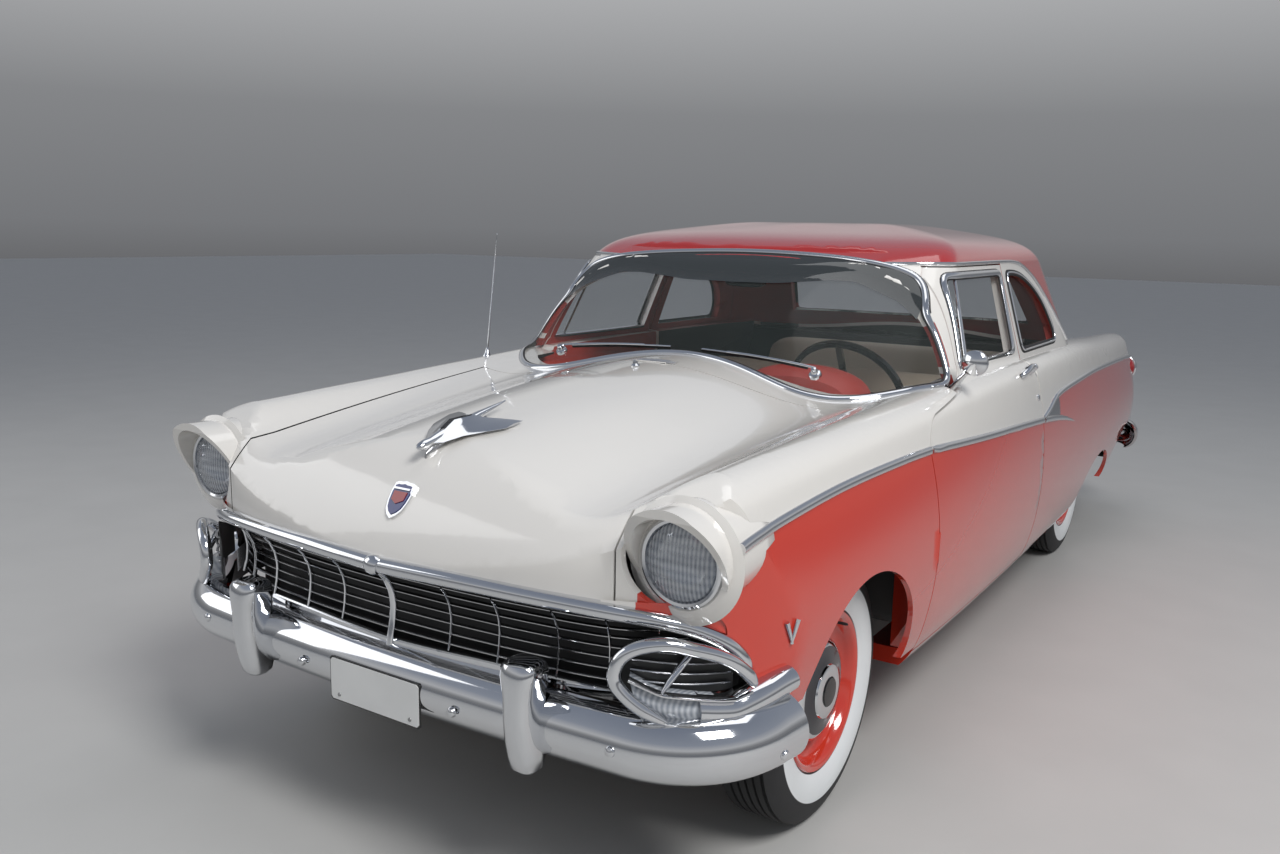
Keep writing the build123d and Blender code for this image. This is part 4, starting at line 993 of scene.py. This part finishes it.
jet = [
    (-640, 986, 2, 2), (-632, 987, 20, 18), (-615, 990, 28, 25), (-596, 994, 24, 22), (-575, 999, 30, 26),
    (-540, 1008, 38, 32), (-500, 1017, 38, 32), (-460, 1026, 32, 27), (-420, 1036, 25, 22),
    (-370, 1047, 16, 15), (-314, 1060, 5, 5)]
foot = [
    (-610, 962, 6, 16), (-590, 972, 20, 30), (-520, 988, 26, 36), (-450, 1006, 20, 30), (-390, 1026, 6, 14)]
cockpit = [
    (-560, 1016, 3, 3), (-545, 1020, 18, 14), (-500, 1031, 20, 14), (-455, 1038, 12, 9), (-425, 1042, 2, 2)]
skin("ornament_body", upright_ovals(jet, 18), chrome, "hood_body")
skin("ornament_foot", upright_ovals(foot, 12), dull_chrome, "hood_body")
skin("ornament_cockpit", upright_ovals(cockpit, 12), gloss_black, "hood_body")
# Sections of a wing, as (distance out, front, rear, height over the hood, half its thickness)
wing = [
    (8, -585, -440, 26, 9), (30, -572, -425, 18, 8), (58, -535, -402, 13, 7), (86, -490, -384, 10, 5),
    (108, -440, -372, 8, 3)]
for suffix, side in (("left", 1), ("right", -1)):
    rings = []
    for x, first, last, lift, thick in wing:
        front, middle, rear = (on_top(side * x, d, lift)[0] for d in (first, (first + last) / 2, last))
        rise = Vector((0, 0, thick / 1000))
        rings.append([front, middle + rise, rear, middle - rise])
    skin("ornament_wing_" + suffix, rings, chrome, "hood_body", sharp=60)

# Crest: a plain cast shield on the nose of the hood, chrome plated, with blue and red enamel and no device.
# Studs hold it to the hood, and it rises with the hood.
enamel_red, enamel_blue = enamel("emblem_red", (0.30, 0.01, 0.01)), enamel("emblem_blue", (0.01, 0.02, 0.14))
spot, normal = on_top(0.5, -699)
turn_up = Vector((0, normal.z, -normal.y)) if normal.y < 0 else Vector((0, 0, 1))
shield = [(0, 48), (12, 45), (24, 45), (32, 41), (34, 20), (31, -8), (25, -28), (14, -42), (0, -51)]
shield += [(-x, z) for x, z in reversed(shield[1:-1])]
ribbon = [(-21, 18), (21, 18), (19, -4), (0, -14), (-19, -4)]
bar = [(-26, 28), (26, 28), (25, 23), (-25, 23)]
for name, outline, scale, back, front, material in [
        ("rim", shield, 1.0, -4, 5, chrome), ("field", shield, 0.82, 3, 7, enamel_blue),
        ("band", ribbon, 1.0, 6, 9, enamel_red), ("bar", bar, 1.0, 6, 10, chrome)]:
    rings = []
    for out in (back, front):
        middle = spot + normal * (out / 1000)
        rings.append([
            middle + Vector((x * scale / 1000, 0, 0)) + turn_up * (z * scale / 1000) for x, z in outline])
    skin("crest_" + name, rings, material, "hood_body")

# Washer nozzle: a small turned fitting, chrome plated, screwed into the middle of the cowl before the
# windscreen.
spot, normal = on_top(0, 309)
nozzle = [(-3, 14), (3, 14), (6, 11), (9, 8), (16, 7), (18, 0)]
turned("washer_nozzle", nozzle, spot, normal, chrome, steps=24)

# Dashboard and steering: a pressed dashboard in coral under a padded vinyl hood over the instruments, a
# black column, and a moulded black steering wheel.
panel("dashboard", coral_paint)
panel("steering_column", gloss_black)
panel("steering_wheel", gloss_black)
driver_out, dash_top = 370, 985
arch = [(math.cos(math.pi * k / 16), math.sin(math.pi * k / 16)) for k in range(17)]
rings = []
for d, wide, high in [
        (640, 300, 40), (655, 380, 74), (700, 430, 98), (760, 440, 104), (800, 430, 100), (806, 410, 92)]:
    rings.append([at(driver_out + wide / 2 * x, d, dash_top + high * z ** 0.8) for x, z in arch])
skin("instrument_hood", rings, red_vinyl)

# Inside mirror: a black moulded case on a chrome-plated stalk. The stalk is screwed to the middle of the
# windscreen header.
mirror = [(1012, 1338, 150, 40), (1016, 1338, 160, 48), (1030, 1338, 160, 48), (1033, 1338, 150, 42)]
skin("inside_mirror", upright_ovals(mirror, 20, 3.5), gloss_black)
stalk = [at(0, 1018, 1350), at(0, 1012, 1385)]
strip("mirror_stalk", facing(stalk, Vector((1, 0, 0))), oval(10, 10, 8), chrome)

# Seats: bench cushions and backrests of sprung padding in pale woven cloth. The faces that look back get
# a darker copy of the cloth as painted shade. Each is one sewn cover over its frame, rounded at both ends.
seat_cloth = woven("seat_cloth", (0.72, 0.63, 0.50))
# The same cloth, darker: painted shade for the faces that look back.
shaded_seat_cloth = woven("shaded_seat_cloth", (0.30, 0.26, 0.22))


def bench(name, outline, half, back_material):
    """A bench with rounded ends; the outline is (distance, height) round its side view."""
    ring = smooth_line([Vector((0, aft(d), z / 1000)) for d, z in outline], 6, closed=True)
    middle = sum(ring, Vector()) / len(ring)
    rings, count = [], 40
    for t in [i / count * 2 - 1 for i in range(count + 1)]:
        x = half / 1000 * math.copysign(abs(t) ** 0.8, t)
        pinch = 1 - 0.16 * abs(t) ** 14
        rings.append([middle.lerp(p, pinch) + Vector((x, 0, 0)) for p in ring])
    obj = skin(name, rings, seat_cloth, sharp=60)
    # Faces that look back take the second material, which for the backrests and the front cushion is painted
    # shade.
    obj.data.materials.append(back_material)
    for face in obj.data.polygons:
        face.material_index = 1 if face.normal.y > 0.35 else 0
    return obj


front_cushion = [
    (1275, 470), (1268, 540), (1300, 592), (1450, 604), (1640, 594), (1735, 570), (1760, 500), (1740, 452),
    (1500, 450), (1300, 452)]
front_backrest = [
    (1700, 500), (1690, 590), (1740, 720), (1805, 880), (1838, 940), (1870, 948), (1898, 930), (1900, 880),
    (1860, 700), (1800, 520), (1750, 470)]
rear_cushion = [
    (2088, 470), (2082, 540), (2115, 592), (2250, 604), (2390, 592), (2450, 560), (2470, 470), (2300, 455),
    (2120, 456)]
rear_backrest = [
    (2405, 520), (2410, 610), (2470, 760), (2545, 930), (2590, 978), (2640, 974), (2648, 900), (2600, 700),
    (2540, 520), (2470, 480)]
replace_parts(bench("front_cushion", front_cushion, 655, shaded_seat_cloth), "front_seat")
bench("front_backrest", front_backrest, 655, shaded_seat_cloth)
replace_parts(bench("rear_cushion", rear_cushion, 635, seat_cloth), "rear_seat")
bench("rear_backrest", rear_backrest, 635, shaded_seat_cloth)

# Ground, sky and lamps: a pale floor, an overcast sky that is brightest above the horizon, for the chrome to
# mirror, and three soft lamps.
floor_look = Paintbox("floor", (0.55, 0.54, 0.52), 0.7)
floor_look.set("Base Color", floor_look.cloudy((0.54, 0.53, 0.505), 0.05, 3))
floor_mesh = bpy.data.meshes.new("floor")
floor_mesh.from_pydata([(-40, -40, 0), (40, -40, 0), (40, 40, 0), (-40, 40, 0)], [], [(0, 1, 2, 3)])
floor_mesh.materials.append(floor_look.bump(floor_look.noise(300), 0.1, 0.001))
floor = bpy.data.objects.new("floor", floor_mesh)
bpy.context.collection.objects.link(floor)
world = bpy.data.worlds.new("sky")
world.use_nodes = True
bpy.context.scene.world = world
sky = Nodes(world.node_tree)
background = sky.tree.nodes["Background"]
direction = sky.add("SeparateXYZ", {0: sky.add("TexCoord", output="Generated")}, output=2)
ramp = sky.add("ValToRGB", {0: direction * 0.5 + 0.5})
stops = ramp.socket.node.color_ramp.elements
stops[0].position, stops[0].color = 0.0, (0.30, 0.30, 0.31, 1)
stops[1].position, stops[1].color = 1.0, (0.38, 0.43, 0.54, 1)
for position, color in [
        (0.47, (0.22, 0.22, 0.23)), (0.50, (0.36, 0.37, 0.39)), (0.55, (0.46, 0.47, 0.49)),
        (0.62, (0.95, 0.96, 0.98)), (0.74, (0.55, 0.60, 0.70))]:
    stops.new(position).color = (*color, 1)
sky.tree.links.new(ramp.socket, background.inputs[0])
background.inputs[1].default_value = 0.5
for name, place, target, power, width in [
        ("key", (4.5, -3.5, 6.0), (0, -0.4, 0.6), 330, 2.5),
        ("fill", (-5.5, -4.5, 3.5), (0, -0.8, 0.7), 60, 4.0), ("top", (0.5, 0.5, 7.5), (0, 0, 0.9), 90, 5.0)]:
    light = bpy.data.lights.new(name, "AREA")
    light.energy, light.size = power, width
    lamp = bpy.data.objects.new(name, light)
    bpy.context.collection.objects.link(lamp)
    lamp.location = place
    lamp.rotation_euler = (Vector(target) - Vector(place)).to_track_quat("-Z", "Y").to_euler()
